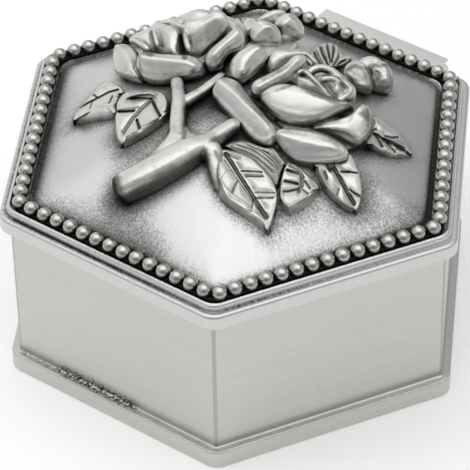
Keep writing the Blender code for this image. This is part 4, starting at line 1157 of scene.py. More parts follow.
reliefValues = {
    "leafFront": {
        "node": "leaf_front", "rise": (1.5, 1.25), "lift": 0.5, "wall": (-0.7, 0.7, 8.0, 1.1),
        "outline": [(219, 150), (226, 149.5), (233, 151), (240, 153), (247, 155.5), (254, 160),
                    (261, 166.5), (267, 173), (272.5, 180), (276, 188), (277.5, 196), (277, 204),
                    (275, 212), (273, 219), (270.5, 226), (268, 230.5), (265, 231.5), (261, 229.5),
                    (255, 225), (247, 219.5), (239, 214), (231, 209), (223, 202), (217, 193), (213, 183),
                    (211, 173), (211.5, 164), (214, 155)],
        "midrib": [(226, 154), (231, 162), (240, 176.5), (252, 195), (261, 209), (266.5, 217)],
        "groove": (2.6, -0.30, 0.8), "core": (0.7, 0.34, -0.9),
        "strokes": [
            ([(225, 160), (237, 178), (249, 195.5), (258, 208), (264.5, 217.5)], 0.7, -0.1, 0.6),
            ([(241, 171), (252, 171.3), (262, 172)], 0.8, -0.12, 0.7),
            ([(243, 173.4), (262, 173.9)], 0.9, 0.14, -0.5),
            ([(246, 176.5), (263, 176.6)], 0.8, -0.1, 0.45),
            ([(255, 192.5), (275, 193)], 0.9, -0.08, 0.35),
            ([(258, 195.5), (274, 196)], 1.2, 0.12, -0.2),
            ([(256, 198.6), (273, 198)], 0.8, -0.1, 0.4),
            ([(238, 181), (234.5, 187), (232, 193.5)], 1.3, -0.14, 0.5),
            ([(253.5, 200), (252.5, 206), (251, 211)], 1.1, -0.1, 0.4),
            ([(221, 178), (228, 169), (234, 172)], 1.0, -0.05, 0.25),
            # painted highlight along the inner edge of the leaf's wall
            ([(218.6, 160), (219, 178), (226, 188), (233, 195.5), (241, 200.5), (249, 207), (257, 214.5),
              (264, 220.5)], 1.0, 0.12, -0.6),
            ([(227, 152), (236, 155), (246, 158)], 0.8, 0.1, -0.5),
            ([(229, 155.5), (238, 159)], 0.8, -0.1, 0.5),
            # painted shade on the slope beside the midrib
            ([(237, 163), (247, 178), (257, 193), (266, 208)], 2.5, -0.06, 0.22)]},
    "leafShaded": {
        # painted shadow: the whole leaf is darkened, as it lies in the shadow of the petals
        "node": "leaf_shaded", "rise": (1.0, 1.0), "lift": 0.1, "wall": (0.0, 1.0, 3.0, 1.1), "patinaAndPaintedLight": 0.34,
        "outline": [(224, 147), (229, 142.5), (237, 140.5), (246, 141), (256, 144.5), (265, 147),
                    (272.5, 147.5), (277, 152), (281, 157.5), (285.5, 162.5), (284.5, 168), (282, 175),
                    (280, 182), (278, 187), (272, 186), (263, 176), (252, 165), (240, 157), (230, 151)],
        "midrib": [(231, 147), (245, 151), (258, 158), (272, 170)],
        "groove": (0.8, -0.1, 0.35), "core": (0.5, 0.02, 0.0),
        "strokes": [
            ([(238, 145), (252, 149), (264, 157), (274, 166)], 0.6, -0.08, 0.24),
            ([(248, 145), (260, 150), (270, 158), (278, 167)], 0.6, -0.08, 0.24),
            ([(258, 148), (268, 153), (276, 160), (281, 166)], 0.6, -0.08, 0.24),
            ([(244, 153), (256, 161), (266, 171), (273, 180)], 0.6, -0.08, 0.20),
            ([(263, 150), (272, 155), (279, 162)], 0.5, -0.08, 0.22),
            ([(273, 148.5), (279, 156), (284, 163.5)], 0.9, 0.14, -0.6)]},
    "leafSmall": {
        "node": "leaf_small", "rise": (1.2, 1.0), "lift": 0.4, "wall": (0.15, 0.99, 8.0, 1.1),
        "outline": [(287, 163.5), (292, 163.5), (299, 168), (305, 172.5), (310, 176.5), (315, 181),
                    (318.5, 186), (319, 191), (315.5, 197), (310, 202.5), (303, 208), (296, 212.5),
                    (290, 215), (285, 212.5), (281.5, 206), (279.5, 198), (279.5, 189), (281, 180),
                    (283.5, 171)],
        "midrib": [(291, 165.5), (299, 170), (302.5, 177), (301.5, 186), (299, 191)],
        "groove": (2.2, -0.3, 0.75), "core": (0.6, 0.1, 0.0),
        "strokes": [
            ([(287, 170), (292, 171.5), (298, 173)], 1.8, -0.3, 0.9),
            ([(285, 181), (290, 182), (298, 184)], 1.6, -0.28, 0.85),
            ([(284, 191.5), (290, 191), (298, 189)], 1.3, -0.22, 0.8),
            ([(305, 181.5), (310, 188)], 1.3, -0.2, 0.7),
            ([(303, 190), (308, 194)], 1.2, -0.15, 0.5),
            ([(309, 179), (314, 186), (316.5, 191)], 1.0, 0.2, -0.8),
            ([(284, 168), (281.5, 178), (281.5, 190), (283, 200), (286, 205)], 1.2, 0.15, -0.6),
            ([(286, 205), (290, 205.5), (294, 202.5), (299, 201), (304, 198.5), (311, 194.5)],
             1.3, 0.2, -0.7)]},
    "leafRightFront": {
        "node": "leaf_right_front", "rise": (1.5, 1.1), "lift": 0.5, "wall": (-0.7, 0.7, 5.5, 1.1),
        "outline": [(313.5, 165), (318, 163), (325, 161.5), (332, 160), (339, 158), (345, 156),
                    (350, 153.5), (354, 158.5), (357, 166), (359.5, 174), (361.5, 183), (362, 192),
                    (361, 200), (359, 207), (355.5, 211.5), (350, 212), (344, 209.5), (337, 204.5),
                    (329.5, 197.5), (323, 190), (318.5, 181.5), (315, 173)],
        "midrib": [(331, 164), (337, 173), (344, 186), (350, 197), (354, 203.5)],
        "groove": (2.4, -0.3, 0.85), "core": (0.65, 0.32, -0.9),
        "strokes": [
            # painted shadow of the petal above, at the top of the midrib
            ([(328, 163.5), (330, 169)], 2.6, -0.35, 0.9),
            ([(341, 171.8), (350, 172), (357.5, 173)], 1.0, -0.18, 0.85),
            ([(337, 164), (343, 168.5), (349, 170)], 0.9, 0.15, -0.6),
            ([(350, 190), (355, 193.5), (361, 197)], 1.2, -0.2, 0.85),
            ([(351, 193), (357, 197.5)], 0.9, 0.14, -0.6),
            ([(325, 172), (327, 178)], 1.6, -0.22, 0.8),
            ([(339, 189), (337, 196)], 1.2, -0.15, 0.6),
            ([(317, 166), (321, 175), (326, 184), (333, 193), (341, 201), (349, 206)], 1.0, 0.15, -0.6)]},
    "leafRightBack": {
        "node": "leaf_right_back", "rise": (1.3, 1.0), "lift": 0.4, "wall": (-0.15, 0.99, 7.0, 1.2),
        "outline": [(372, 117), (376, 116), (381, 119), (388, 125), (396, 131), (402, 137), (406.5, 143),
                    (410, 149), (411.5, 154), (408, 157.5), (401, 158.5), (393, 158), (385, 156),
                    (377, 152.5), (370, 149), (366, 145), (367, 141), (371, 136), (372, 127)],
        "midrib": [(372, 133), (381, 138), (391, 143.5), (400, 148), (408, 153)],
        "groove": (1.7, -0.28, 0.85), "core": (0.5, 0.1, 0.0),
        "strokes": [
            ([(384, 137), (395, 141.5), (405, 147)], 0.8, 0.25, -0.8),
            ([(377, 137.5), (379.5, 142), (382, 147)], 1.3, -0.2, 0.9),
            ([(387, 142.5), (391, 147), (395, 152)], 1.3, -0.2, 0.9),
            ([(380.5, 139), (384.5, 146.5)], 0.7, 0.15, -0.7),
            ([(392, 144), (397, 150)], 0.7, 0.15, -0.7),
            ([(372, 131), (376, 129)], 1.2, -0.18, 0.8),
            ([(385, 136), (392, 137.5), (398, 137)], 1.1, -0.16, 0.7),
            ([(375, 131.5), (380, 133.5)], 1.6, 0.15, -0.6)]},
    "leafLeft": {
        "node": "leaf_left", "rise": (1.4, 1.2), "lift": 0.3, "wall": (0.5, 0.87, 9.0, 1.3),
        "outline": [(157, 91), (150, 89.5), (140, 89.5), (130, 91), (122, 95), (117, 103), (115.5, 112),
                    (115, 122), (116, 132), (119, 141), (124, 146.5), (130, 144), (138, 140), (148, 134.5),
                    (158, 127.5), (166, 121), (171, 114), (171, 108), (168, 100), (163, 93)],
        "midrib": [(151, 100), (142, 108), (133, 118), (127, 127), (122, 134)],
        "groove": (2.2, -0.22, 0.5), "core": (0.7, 0.24, -0.5),
        "strokes": [
            ([(130, 95.5), (140, 93.3), (150, 92.3), (154.5, 94.5)], 2.4, 0.55, -0.6),
            ([(127, 99), (140, 97.8), (152, 98.5)], 0.8, -0.15, 0.8),
            ([(118, 111.6), (126, 111.4), (134, 110.8)], 1.2, -0.25, 0.95),
            ([(118.5, 109), (128, 107.8), (138, 106.8)], 0.8, 0.15, -0.6),
            ([(137, 120), (139.5, 128)], 1.6, -0.3, 0.95),
            ([(153, 102), (156.5, 109.5), (160.5, 116.5)], 1.7, -0.3, 0.95),
            ([(142, 125.5), (150, 121.5), (157.5, 118)], 1.1, 0.2, -0.8),
            ([(161, 117.5), (166, 113.5), (170.5, 110)], 1.1, 0.2, -0.8),
            ([(123, 138), (130, 132.5), (137, 130)], 1.2, 0.18, -0.7),
            ([(117, 120), (119, 130), (122, 135)], 1.6, 0.1, -0.5)]},
    "leafFarLeft": {
        "node": "leaf_far_left", "rise": (1.3, 1.2), "lift": 0.3, "wall": (0.0, 1.0, 13.0, 1.7),
        "outline": [(73, 121), (74, 115), (77, 110.5), (81, 105.5), (86, 100.5), (91, 94.5), (96, 88.5),
                    (101, 84), (106, 81), (112, 82), (120, 86), (124, 92), (122, 100), (119, 108),
                    (117, 116.5), (108, 119.5), (98, 121), (86, 122.5), (78, 123)],
        "midrib": [(80, 107.5), (88, 103), (98, 98), (108, 92.5), (118, 89.5)],
        "groove": (1.1, -0.22, 0.9), "core": (0.4, 0.02, 0.0),
        "strokes": [
            ([(93, 94), (97, 97.5)], 0.9, -0.15, 0.85),
            ([(90, 108), (92.5, 101.5)], 0.8, -0.12, 0.7),
            ([(109, 103.5), (112.5, 96)], 1.1, -0.15, 0.8),
            ([(82, 104), (88, 98), (93, 93.5)], 1.2, 0.12, -0.6),
            ([(95, 106), (104, 105), (113, 103.2), (119, 102)], 0.9, 0.15, -0.6)]},
    "sepalFluted": {
        "node": "sepal_fluted", "rise": (1.5, 1.3), "lift": 0.1, "wall": (0.0, 1.0, 2.0, 1.1),
        "outline": [(309, 58), (311, 52.5), (315, 48.5), (320, 45), (326, 43), (332, 43), (337, 45.5),
                    (339.5, 50), (343, 55.5), (349.5, 56), (351, 59.5), (347, 64), (341, 67), (333, 68),
                    (325, 67.5), (317, 66.5), (311, 63.5)],
        "midrib": [(330, 62), (328, 52), (327, 44)],
        "groove": (1.0, -0.25, 0.35), "core": (0.4, 0.02, 0.0), "patinaAndPaintedLight": 0.10,
        "strokes": [
            ([(326, 66), (320, 55), (317, 48.5)], 1.3, 0.35, -0.8),
            ([(329, 60), (325, 50), (323, 45)], 1.1, 0.3, -0.7),
            ([(331, 58), (330.5, 50), (330, 44)], 1.0, 0.25, -0.5),
            ([(333, 60), (336, 52), (336.5, 46)], 1.1, 0.25, -0.4),
            ([(328, 65), (323, 55), (320, 46.5)], 1.2, -0.28, 0.26),
            ([(332, 62), (333.5, 52), (333.5, 44.5)], 1.1, -0.24, 0.22),
            ([(322, 66), (316, 57), (313.5, 51)], 1.2, -0.24, 0.2),
            ([(334, 66), (338, 58), (339, 50)], 1.3, -0.24, 0.24),
            ([(310, 57), (317, 66)], 0.6, -0.15, 0.6),
            ([(334, 67), (339, 61), (348, 57)], 1.0, 0.25, -0.6),
            ([(334, 68), (341, 66), (349, 62.5)], 0.8, -0.25, 0.9),
            ([(337, 65), (344, 60.5)], 0.6, -0.15, 0.4)]}}

leafValues = {
    "sepalBack": ("sepal_back", (-10.5, 15.5), (-16.5, 22.0), 5.0, 3),
    "sepalMiddle": ("sepal_middle", (-6.0, 17.5), (-10.8, 23.6), 5.0, 3)}

reliefLook = {
    "breadth": 0.78,             # of the strokes as written
    "patinaAndPaintedLight": 0.72,
    "pillow": 0.24,              # millimetres that a panel swells between its grooves
    "pillowReach": 4.2,          # pixels from a groove to the top of the swelling
    "liftReach": 22,             # pixels from the midrib to where the lift is full
    "rim": 1.3,                  # pixels over which a side that isn't the wall falls
    "step": 0.42,      # pixels of the frame between a leaf's points
    "foot": 0.2 * mm}            # how far a leaf is let into the dome
leafLook = {                     # half width and height of what runs along a pointed leaf, in millimetres
    "rib": (0.34, 0.25),
    "groove": (0.22, -0.2),
    "rim": 0.22,
    "vein": (0.10, -0.22),       # its half width is a share of the distance between two
    "middle": 1.3,
    "side": 0.7}


def pathGap(spots, path):
    # from each spot to the nearest point of a path
    best = np.full(len(spots), 1e9)
    for first, last in zip(path, path[1:]):
        run = np.subtract(last, first)
        share = np.clip(((spots - first) @ run) / max(run @ run, 1e-12), 0, 1)
        best = np.minimum(best, np.linalg.norm(spots - first - share[:, None] * run, axis=1))
    return best


def insideLoop(spots, loop):
    inside = np.zeros(len(spots), dtype=bool)
    x, y = spots[:, 0], spots[:, 1]
    for (ax, ay), (bx, by) in zip(loop, np.roll(loop, -1, axis=0)):
        if ay != by:
            crosses = ((ay > y) != (by > y)) & (x < (bx - ax) * (y - ay) / (by - ay) + ax)
            inside ^= crosses
    return inside


def letIn(bm):
    # closes a sheet with sides and an underside that is let into the dome
    grown = bmesh.ops.extrude_face_region(bm, geom=list(bm.faces), use_keep_orig=True)
    for item in grown["geom"]:
        if isinstance(item, bmesh.types.BMVert):
            item.co.z = domeHeight(item.co.x, item.co.y) - reliefLook["foot"]
    tidyMesh(bm)


def reliefPiece(name, values):
    # a sheet over the outline, then its strokes, then sides that drop into the dome
    loop = np.array([tuple(spot) for spot in closedCurve(values["outline"], 260)])
    low, high, pitch = loop.min(axis=0), loop.max(axis=0), reliefLook["step"]
    counts = np.ceil((high - low) / pitch).astype(int) + 2
    bm = bmesh.new()
    layer = bm.verts.layers.float.new("patinaAndPaintedLight")
    bmesh.ops.create_grid(bm, x_segments=int(counts[0]), y_segments=int(counts[1]), size=0.5)
    bm.verts.ensure_lookup_table()
    spots = np.array([(vert.co.x, vert.co.y) for vert in bm.verts])
    spots = (low + high) / 2 + spots * counts * pitch
    gaps = np.linalg.norm(spots[:, None, :] - loop[None, :, :], axis=2)
    nearest = gaps.argmin(axis=1)
    edge = gaps[np.arange(len(spots)), nearest]
    inside = insideLoop(spots, loop)
    snapped = ~inside & (edge < 0.8 * pitch)
    snapped |= inside & (edge < 0.3 * pitch)
    spots[snapped] = loop[nearest[snapped]]
    edge[snapped] = 0.0
    doomed = [bm.verts[int(index)] for index in np.flatnonzero(~inside & ~snapped)]
    run = np.roll(loop, -1, axis=0) - np.roll(loop, 1, axis=0)
    outward = np.stack([run[:, 1], -run[:, 0]], axis=1)
    outward /= np.linalg.norm(outward, axis=1)[:, None]
    if ((loop - loop.mean(axis=0)) * outward).sum() < 0:
        outward = -outward
    wallX, wallY, wallWidth, steep = values["wall"]
    facing = smoothStep(-0.1, 0.55, outward[nearest] @ np.array((wallX, wallY)))
    midrib = np.array(values["midrib"], dtype=float)
    axis = midrib[-1] - midrib[0]
    along = np.clip(((spots - midrib[0]) @ axis) / (axis @ axis), 0, 1)
    offset = pathGap(spots, midrib)
    rises = values["rise"][0] + (values["rise"][1] - values["rise"][0]) * along
    rises = rises + values["lift"] * np.clip(offset / reliefLook["liftReach"], 0, 1)
    width = reliefLook["rim"] + (wallWidth - reliefLook["rim"]) * facing
    fall = np.clip(1 - edge / width, 0, 1) ** steep
    rises = rises - fall * (0.3 + 0.7 * facing) * (rises - 0.1)
    patinaAndPaintedLight = np.full(len(spots), values.get("patinaAndPaintedLight", 0.0))
    strokes = [(values["midrib"], *values["groove"]), (values["midrib"], *values["core"])] + values["strokes"]
    hollow = edge.copy()
    for path, breadth, tall, black in strokes:
        gap = pathGap(spots, np.array(path, dtype=float))
        share = np.exp(-(gap / (breadth * reliefLook["breadth"])) ** 2)
        rises += tall * share * (1 - fall)
        patinaAndPaintedLight += (reliefLook["patinaAndPaintedLight"] * black if black > 0 else black) * share
        if tall < -0.05:
            hollow = np.minimum(hollow, gap)
    pillow = 1 - np.exp(-(hollow / reliefLook["pillowReach"]) ** 2)
    rises += values.get("pillow", reliefLook["pillow"]) * pillow * (1 - fall)
    places = onDomeAll(spots[:, 0], spots[:, 1], np.maximum(rises, 0.05))
    for vert, place, black in zip(bm.verts, places, patinaAndPaintedLight):
        vert.co = place
        vert[layer] = black
    bmesh.ops.delete(bm, geom=doomed, context="VERTS")
    letIn(bm)
    return keepPiece(name, bm, castMetal, "lid", [values["node"]], 55)


def leafPiece(name, node, root, tip, width, veins):
    bm = bmesh.new()
    lengthwise, crosswise = ((90, 56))
    bmesh.ops.create_grid(bm, x_segments=lengthwise, y_segments=crosswise, size=0.5)
    start, reach = Vector(root), Vector(tip) - Vector(root)
    forward, length = reach.normalized(), reach.length
    side = Vector((-forward.y, forward.x))
    (ribWide, ribHigh), (grooveWide, grooveHigh) = leafLook["rib"], leafLook["groove"]
    veinWide, veinHigh = leafLook["vein"]
    for vert in bm.verts:
        share, sideways = vert.co.x + 0.5, 2 * vert.co.y
        bow = math.sin(math.pi * min(share ** 0.8, 1.0)) ** 0.8 if 0 < share < 1 else 0.0
        half = (0.09 + 0.91 * bow) * width / 2
        x, y = (start + forward * (length * share) + side * (half * sideways)) * sprayUnit
        offset = abs(half * sideways)
        rim = smoothStep(0.84, 0.93, abs(sideways)) * (1 - smoothStep(0.97, 1.0, abs(sideways)))
        rib = math.exp(-(offset / ribWide) ** 2)
        groove = math.exp(-((offset - 0.62) / grooveWide) ** 2)
        phase = (share - 0.10 * abs(sideways) * 1.6) * (veins + 0.6)
        vein = math.exp(-(((phase % 1.0) - 0.5) / veinWide) ** 2) * smoothStep(0.3, 1.1, offset) * (1 - rim)
        height = leafLook["middle"] * (1 - 0.35 * share) + leafLook["side"] * abs(sideways) * bow
        height += leafLook["rim"] * rim + ribHigh * rib + grooveHigh * groove + veinHigh * vein
        height -= 0.5 * smoothStep(0.95, 1.0, abs(sideways))
        vert.co = (x, y, domeHeight(x, y) + max(height, 0.35) * mm)
    letIn(bm)
    return keepPiece(name, bm, castMetal, "lid", [node], 180)


leaves = [reliefPiece(name, values) for name, values in reliefValues.items()]
leaves += [leafPiece(name, *values) for name, values in leafValues.items()]
print("Leaves made")


# Velvet lining

liningValues = {
    "cardThick": 1.0 * mm,
    "cardPuff": 0.12 * mm,
    "cardReach": 17.4 * mm,      # from the middle of a card to where its swelling ends
    "cardBevel": 0.28 * mm,
    "cardGap": 0.3 * mm,         # between the edges of two cards
    "cushionHeight": 2.6 * mm,
    "cushionCrown": 0.9 * mm,
    "cushionSwell": 0.45 * mm,
    "padSwell": 0.35 * mm,
    "cushionEdge": 1.1 * mm,
    "cushionCorner": 1.6 * mm,
    "padCrown": 0.8 * mm,
    "padEdge": 0.6 * mm}


def cardPiece(side):
    # velvet wrapped over card, with soft edges
    node = "velvet_wall_card_%d" % (side + 1)
    low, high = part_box(node)
    outer = shell["lining"] + liningValues["cardThick"]
    bm = bmesh.new()
    bmesh.ops.create_cube(bm, size=1.0)
    half = math.tan(math.pi / 6)
    for vert in bm.verts:
        flat = outer if vert.co.x > 0 else outer - liningValues["cardThick"]
        wide = flat * half - liningValues["cardGap"]
        vert.co = (flat, wide if vert.co.y > 0 else -wide, high.z if vert.co.z > 0 else low.z)
    bmesh.ops.bevel(bm, geom=list(bm.edges), offset=liningValues["cardBevel"], segments=3, profile=0.5,
                    affect="EDGES", material=-1)
    bmesh.ops.subdivide_edges(bm, edges=[edge for edge in bm.edges if edge.calc_length() > 4 * mm], cuts=14,
                              use_grid_fill=True)
    middle = (low.z + high.z) / 2
    for vert in bm.verts:
        if vert.co.x < outer - 0.6 * liningValues["cardThick"]:
            wide = 1 - min(abs(vert.co.y) / liningValues["cardReach"], 1.0) ** 4
            tall = 1 - min(abs(vert.co.z - middle) / (high.z - middle), 1.0) ** 4
            vert.co.x -= liningValues["cardPuff"] * max(wide * tall, 0.0)
    bm.transform(Matrix.Rotation(math.radians(30 + 60 * side), 4, "Z"))
    bmesh.ops.recalc_face_normals(bm, faces=bm.faces)
    piece = keepPiece("velvetCard%d" % (side + 1), bm, velvet, "box", [node], 180)


clothValues = {
    "grow": 12,                  # the pads are simulated this many times larger, in metres
    "voxel": 0.62 * mm,
    "pressure": 4.0,
    "frames": 20}


def swollen(bm, cap, hold):
    # air pressure fills the cover like cloth, scaled so that few points reach the cap and none passes it
    scene, grow, frames = bpy.context.scene, clothValues["grow"], clothValues["frames"]
    cover = linkMesh("coverParts", bm)
    loose = cover.data
    loose.transform(Matrix.Scale(grow, 4))
    melt = cover.modifiers.new("melt", "REMESH")
    melt.mode = "VOXEL"
    melt.voxel_size = clothValues["voxel"] * grow
    still = bakedMesh(cover)
    cover.modifiers.clear()
    cover.data = still
    start = meshPoints(still)
    cloth = cover.modifiers.new("air", "CLOTH")
    cloth.settings.use_pressure = True
    cloth.settings.uniform_pressure_force = clothValues["pressure"]
    cloth.settings.effector_weights.gravity = 0.0
    cloth.point_cache.frame_start, cloth.point_cache.frame_end = 1, frames
    for step in range(1, frames + 1):
        scene.frame_set(step)
    swelled = bakedMesh(cover)
    shift = (meshPoints(swelled) - start) / grow
    start = start / grow
    far = np.linalg.norm(shift, axis=1)
    print("Cover moved by up to %.2f mm, held to %.2f mm" % (far.max() / mm, cap / mm))
    shift *= cap / np.quantile(far, 0.9)
    far = np.linalg.norm(shift, axis=1)
    shift *= (np.minimum(1.0, cap / np.maximum(far, 1e-9)) * hold(start))[:, None]
    swelled.vertices.foreach_set("co", (start + shift).ravel())
    scene.frame_set(1)
    cover.modifiers.clear()
    cover.data = swelled
    soft = cover.modifiers.new("soft", "SUBSURF")
    soft.levels = soft.render_levels = 1
    finished = bakedMesh(cover)
    bpy.data.objects.remove(cover)
    bm = bmesh.new()
    bm.from_mesh(finished)
    for made in (loose, still, swelled, finished):
        bpy.data.meshes.remove(made)
    return bm


def crowned(flat, corner, height, crown, power):
    # rows from an edge in to the middle, which is higher by the crown (or lower, if it is below zero)
    shares = [1 - step / 30 for step in range(1, 31)]
    return [(flat * share, corner * share, height + crown * (1 - share ** power) * 0.98) for share in shares]


def cushionPiece():
    low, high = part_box("velvet_floor_cushion")
    flat, corner = high.y, liningValues["cushionCorner"]
    edge, tall = liningValues["cushionEdge"], liningValues["cushionHeight"]
    rows = [(size * flat, size * corner, low.z) for size in (0.0, 0.3, 0.6, 0.9)]
    rows += [(flat - inward * edge, corner, low.z + share * tall) for inward, share in (
        (0.3, 0), (0.06, 0.18), (0, 0.36), (0.02, 0.5), (0.12, 0.66), (0.3, 0.8), (0.6, 0.91), (1, 0.97))]
    rows += crowned(flat - edge, corner, low.z + tall, liningValues["cushionCrown"], 2.4)
    bm = bmesh.new()
    growRings(bm, [hexRing(*row) for row in rows])
    tidyMesh(bm)
    bm = swollen(bm, liningValues["cushionSwell"],
                 lambda spots: smoothStep(low.z + 0.5 * mm, low.z + 2.2 * mm, spots[:, 2]))
    piece = keepPiece("velvetCushion", bm, velvet, "box", ["velvet_floor_cushion"], 180)


def padPiece():
    flat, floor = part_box("lid_velvet_pad")[1].y, shell["lidFloor"]
    corner, edge = shell["hollowCorner"], liningValues["padEdge"]
    under = hexOutline(shell["domeFlat"] - shell["domeWall"], corner)
    drop = shell["domeWall"] + 0.32 * mm
    rings = [domeRing(under, share, drop + 0.2 * mm * share) for share in (0.0, 0.2, 0.4, 0.6, 0.8, 0.92)]
    rows = [(flat, corner, floor + lidValues["recessDepth"] - 0.35 * mm), (flat, corner, floor + edge)]
    rows += [(flat - edge * (1 - cosine), corner, floor + edge * (1 - sine))
             for sine, cosine in quarter(4)[1:]]
    rows += crowned(flat - edge, corner, floor, -liningValues["padCrown"], 2.2)
    rings += [hexRing(*row) for row in rows]
    bm = bmesh.new()
    growRings(bm, rings)
    tidyMesh(bm)
    bm = swollen(bm, liningValues["padSwell"],
                 lambda spots: 1 - smoothStep(floor - 0.2 * mm, floor + 0.7 * mm, spots[:, 2]))
    piece = keepPiece("velvetPad", bm, velvet, "lid", ["lid_velvet_pad"], 180)


for side in range(6):
    cardPiece(side)
cushionPiece()
padPiece()
print("Velvet made")


# Hinge: the cast shapes of the frame with their edges eased

hingeValues = {"ease": 0.16 * mm, "segments": 3, "sharp": 30.0}


def hingePiece(name, node, body, ease=1.0):
    bm = bmesh.new()
    bm.from_mesh(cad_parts[node].data)
    tidyMesh(bm, 2e-6)
    bmesh.ops.dissolve_limit(bm, angle_limit=math.radians(1.5), verts=bm.verts, edges=bm.edges)
    sharp = [edge for edge in bm.edges if len(edge.link_faces) == 2
             and edge.calc_face_angle() > math.radians(hingeValues["sharp"])]
    bmesh.ops.bevel(bm, geom=sharp, offset=hingeValues["ease"] * ease, segments=hingeValues["segments"],
                    profile=0.5, affect="EDGES", clamp_overlap=True, material=-1)
    bmesh.ops.triangulate(bm, faces=[face for face in bm.faces if len(face.verts) > 4])
    bmesh.ops.recalc_face_normals(bm, faces=bm.faces)
    return keepPiece(name, bm, hingeMetal, body, [node], 40.0)


hingeParts = [hingePiece("hingeLeaf", "lid_hinge_leaf", "lid"),
              hingePiece("hingeBracket", "hinge_bracket", "box"),
              hingePiece("hingePin", "hinge_pin", "box", 0.5)]
print("Hinge made")


# Grime (black patina) in the hollows, painted shade from surfaces further off, wear on the ridges, and
# painted shade and highlights along strokes, kept as attributes

shadeValues = {
    "reach": 2.4 * mm,           # how far off another surface still casts painted shade
    "near": 0.8 * mm,            # and how far off it leaves black
    "bodyNear": 0.22 * mm,
    "rays": 16,
    "goldenAngle": 2.39996,      # radians between two rays of the fan
    "sprayReach": 2.2 * mm,
    "sprayFilm": 0.42,
    "patches": 0.72}

# dull patches on the dome, mostly patina, with painted shade among them: the stem's painted shadow at (116,
# 199) and darker painted reflections on the right front; (x, y) in the photograph's frame, radius in
# millimetres, and how dull
domePatinaAndShadePatches = [
    (116, 199, 2.6, 0.75), (128, 206, 3.2, 0.32), (140, 216, 4.0, 0.18), (112, 178, 2.0, 0.22),
    (128, 158, 3.4, 0.65), (150, 148, 3.0, 0.50), (165, 135, 2.2, 0.45), (108, 140, 2.2, 0.35),
    (95, 128, 2.2, 0.15), (72, 128, 1.8, 0.15), (165, 195, 2.4, 0.12), (185, 182, 2.0, 0.10),
    (200, 118, 4.2, 0.75), (192, 100, 3.2, 0.75), (210, 105, 3.0, 0.6), (165, 92, 3.0, 0.6),
    (222, 88, 2.6, 0.8), (100, 232, 4.0, 0.30), (120, 248, 4.0, 0.30), (142, 262, 3.8, 0.30),
    (160, 272, 3.2, 0.24), (156, 248, 3.0, 0.26), (140, 232, 3.2, 0.20), (196, 274, 2.6, 0.18),
    (100, 110, 2.4, 0.20), (78, 98, 2.6, 0.12), (76, 212, 3.0, 0.28), (60, 196, 2.0, 0.18),
    (112, 222, 4.4, 0.14), (150, 238, 4.0, 0.10), (368, 178, 2.2, 0.45), (362, 150, 2.6, 0.95),
    (372, 200, 3.0, 0.32), (345, 216, 3.4, 0.12), (320, 214, 3.0, 0.25), (290, 222, 3.4, 0.22),
    (400, 195, 4.5, 0.18), (404, 120, 3.6, 0.14), (335, 245, 5.0, 0.24), (384, 230, 5.0, 0.34),
    (418, 214, 3.0, 0.42), (402, 224, 3.6, 0.42), (300, 262, 4.0, 0.16), (265, 135, 3.4, 0.8),
    (232, 140, 3.0, 1.2), (300, 46, 2.4, 0.12), (262, 52, 2.4, 0.4), (358, 108, 2.6, 0.55)]


def rayFan(count):
    # directions over the half sphere, denser near the pole
    fan = []
    for index in range(count):
        up = math.sqrt((index + 0.5) / count)
        side = math.sqrt(1 - up * up)
        angle = shadeValues["goldenAngle"] * index
        fan.append((side * math.cos(angle), side * math.sin(angle), up))
    return fan


def gatherTree(pieces):
    bm = bmesh.new()
    for piece in pieces:
        bm.from_mesh(piece.data)
    tree = BVHTree.FromBMesh(bm)
    bm.free()
    return tree


def edgeEnds(mesh):
    pairs = np.empty(len(mesh.edges) * 2, dtype=np.int64)
    mesh.edges.foreach_get("vertices", pairs)
    return pairs


def blurValues(mesh, values, rounds):
    pairs = edgeEnds(mesh)
    first, second = pairs[0::2], pairs[1::2]
    values = np.array(values, dtype=float)
    count = np.bincount(pairs, minlength=len(values)) + 1.0
    for _ in range(rounds):
        total = values.copy()
        np.add.at(total, first, values[second])
        np.add.at(total, second, values[first])
        values = total / count
    return values


def markGrime(piece, tree, extra=None, near=None):
    # grime from what is close by, shade from what is further off
    mesh = piece.data
    spots, normals = meshPoints(mesh), meshPoints(mesh, "normal")
    fan = rayFan(shadeValues["rays"])
    reach = shadeValues["reach"]
    near = near or shadeValues["near"]
    grime, shade = np.zeros(len(spots)), np.zeros(len(spots))
    for index, (spot, normal) in enumerate(zip(spots, normals)):
        up = Vector(normal)
        start = Vector(spot) + up * (0.04 * mm)
        side = up.orthogonal().normalized()
        other = up.cross(side)
        for a, b, c in fan:
            distance = tree.ray_cast(start, side * a + other * b + up * c, reach)[3]
            if distance is not None:
                shade[index] += 1 - distance / reach
                grime[index] += max(1 - distance / near, 0.0)
    grime = blurValues(mesh, grime / len(fan), 1)
    shade = blurValues(mesh, shade / len(fan), 3)
    if extra is not None:
        more, dullFilmAndShade = extra(spots)
        grime, shade = grime + more, shade + dullFilmAndShade
    setAttribute(piece, "grime", grime)
    setAttribute(piece, "shade", shade)


def markWear(piece, scale=0.35, rounds=3):
    # convex ridges are worn bright
    mesh = piece.data
    spots, normals = meshPoints(mesh), meshPoints(mesh, "normal")
    pairs = edgeEnds(mesh)
    first, second = pairs[0::2], pairs[1::2]
    run = spots[second] - spots[first]
    bend = np.einsum("ij,ij->i", normals[second] - normals[first], run)
    bend = bend / np.maximum(np.einsum("ij,ij->i", run, run), 1e-12) * mm
    total = np.zeros(len(spots))
    np.add.at(total, first, bend)
    np.add.at(total, second, bend)
    total /= np.maximum(np.bincount(pairs, minlength=len(spots)), 1)
    setAttribute(piece, "wear", np.clip(blurValues(mesh, np.clip(total, -3, 3), rounds) * scale, -1, 1))


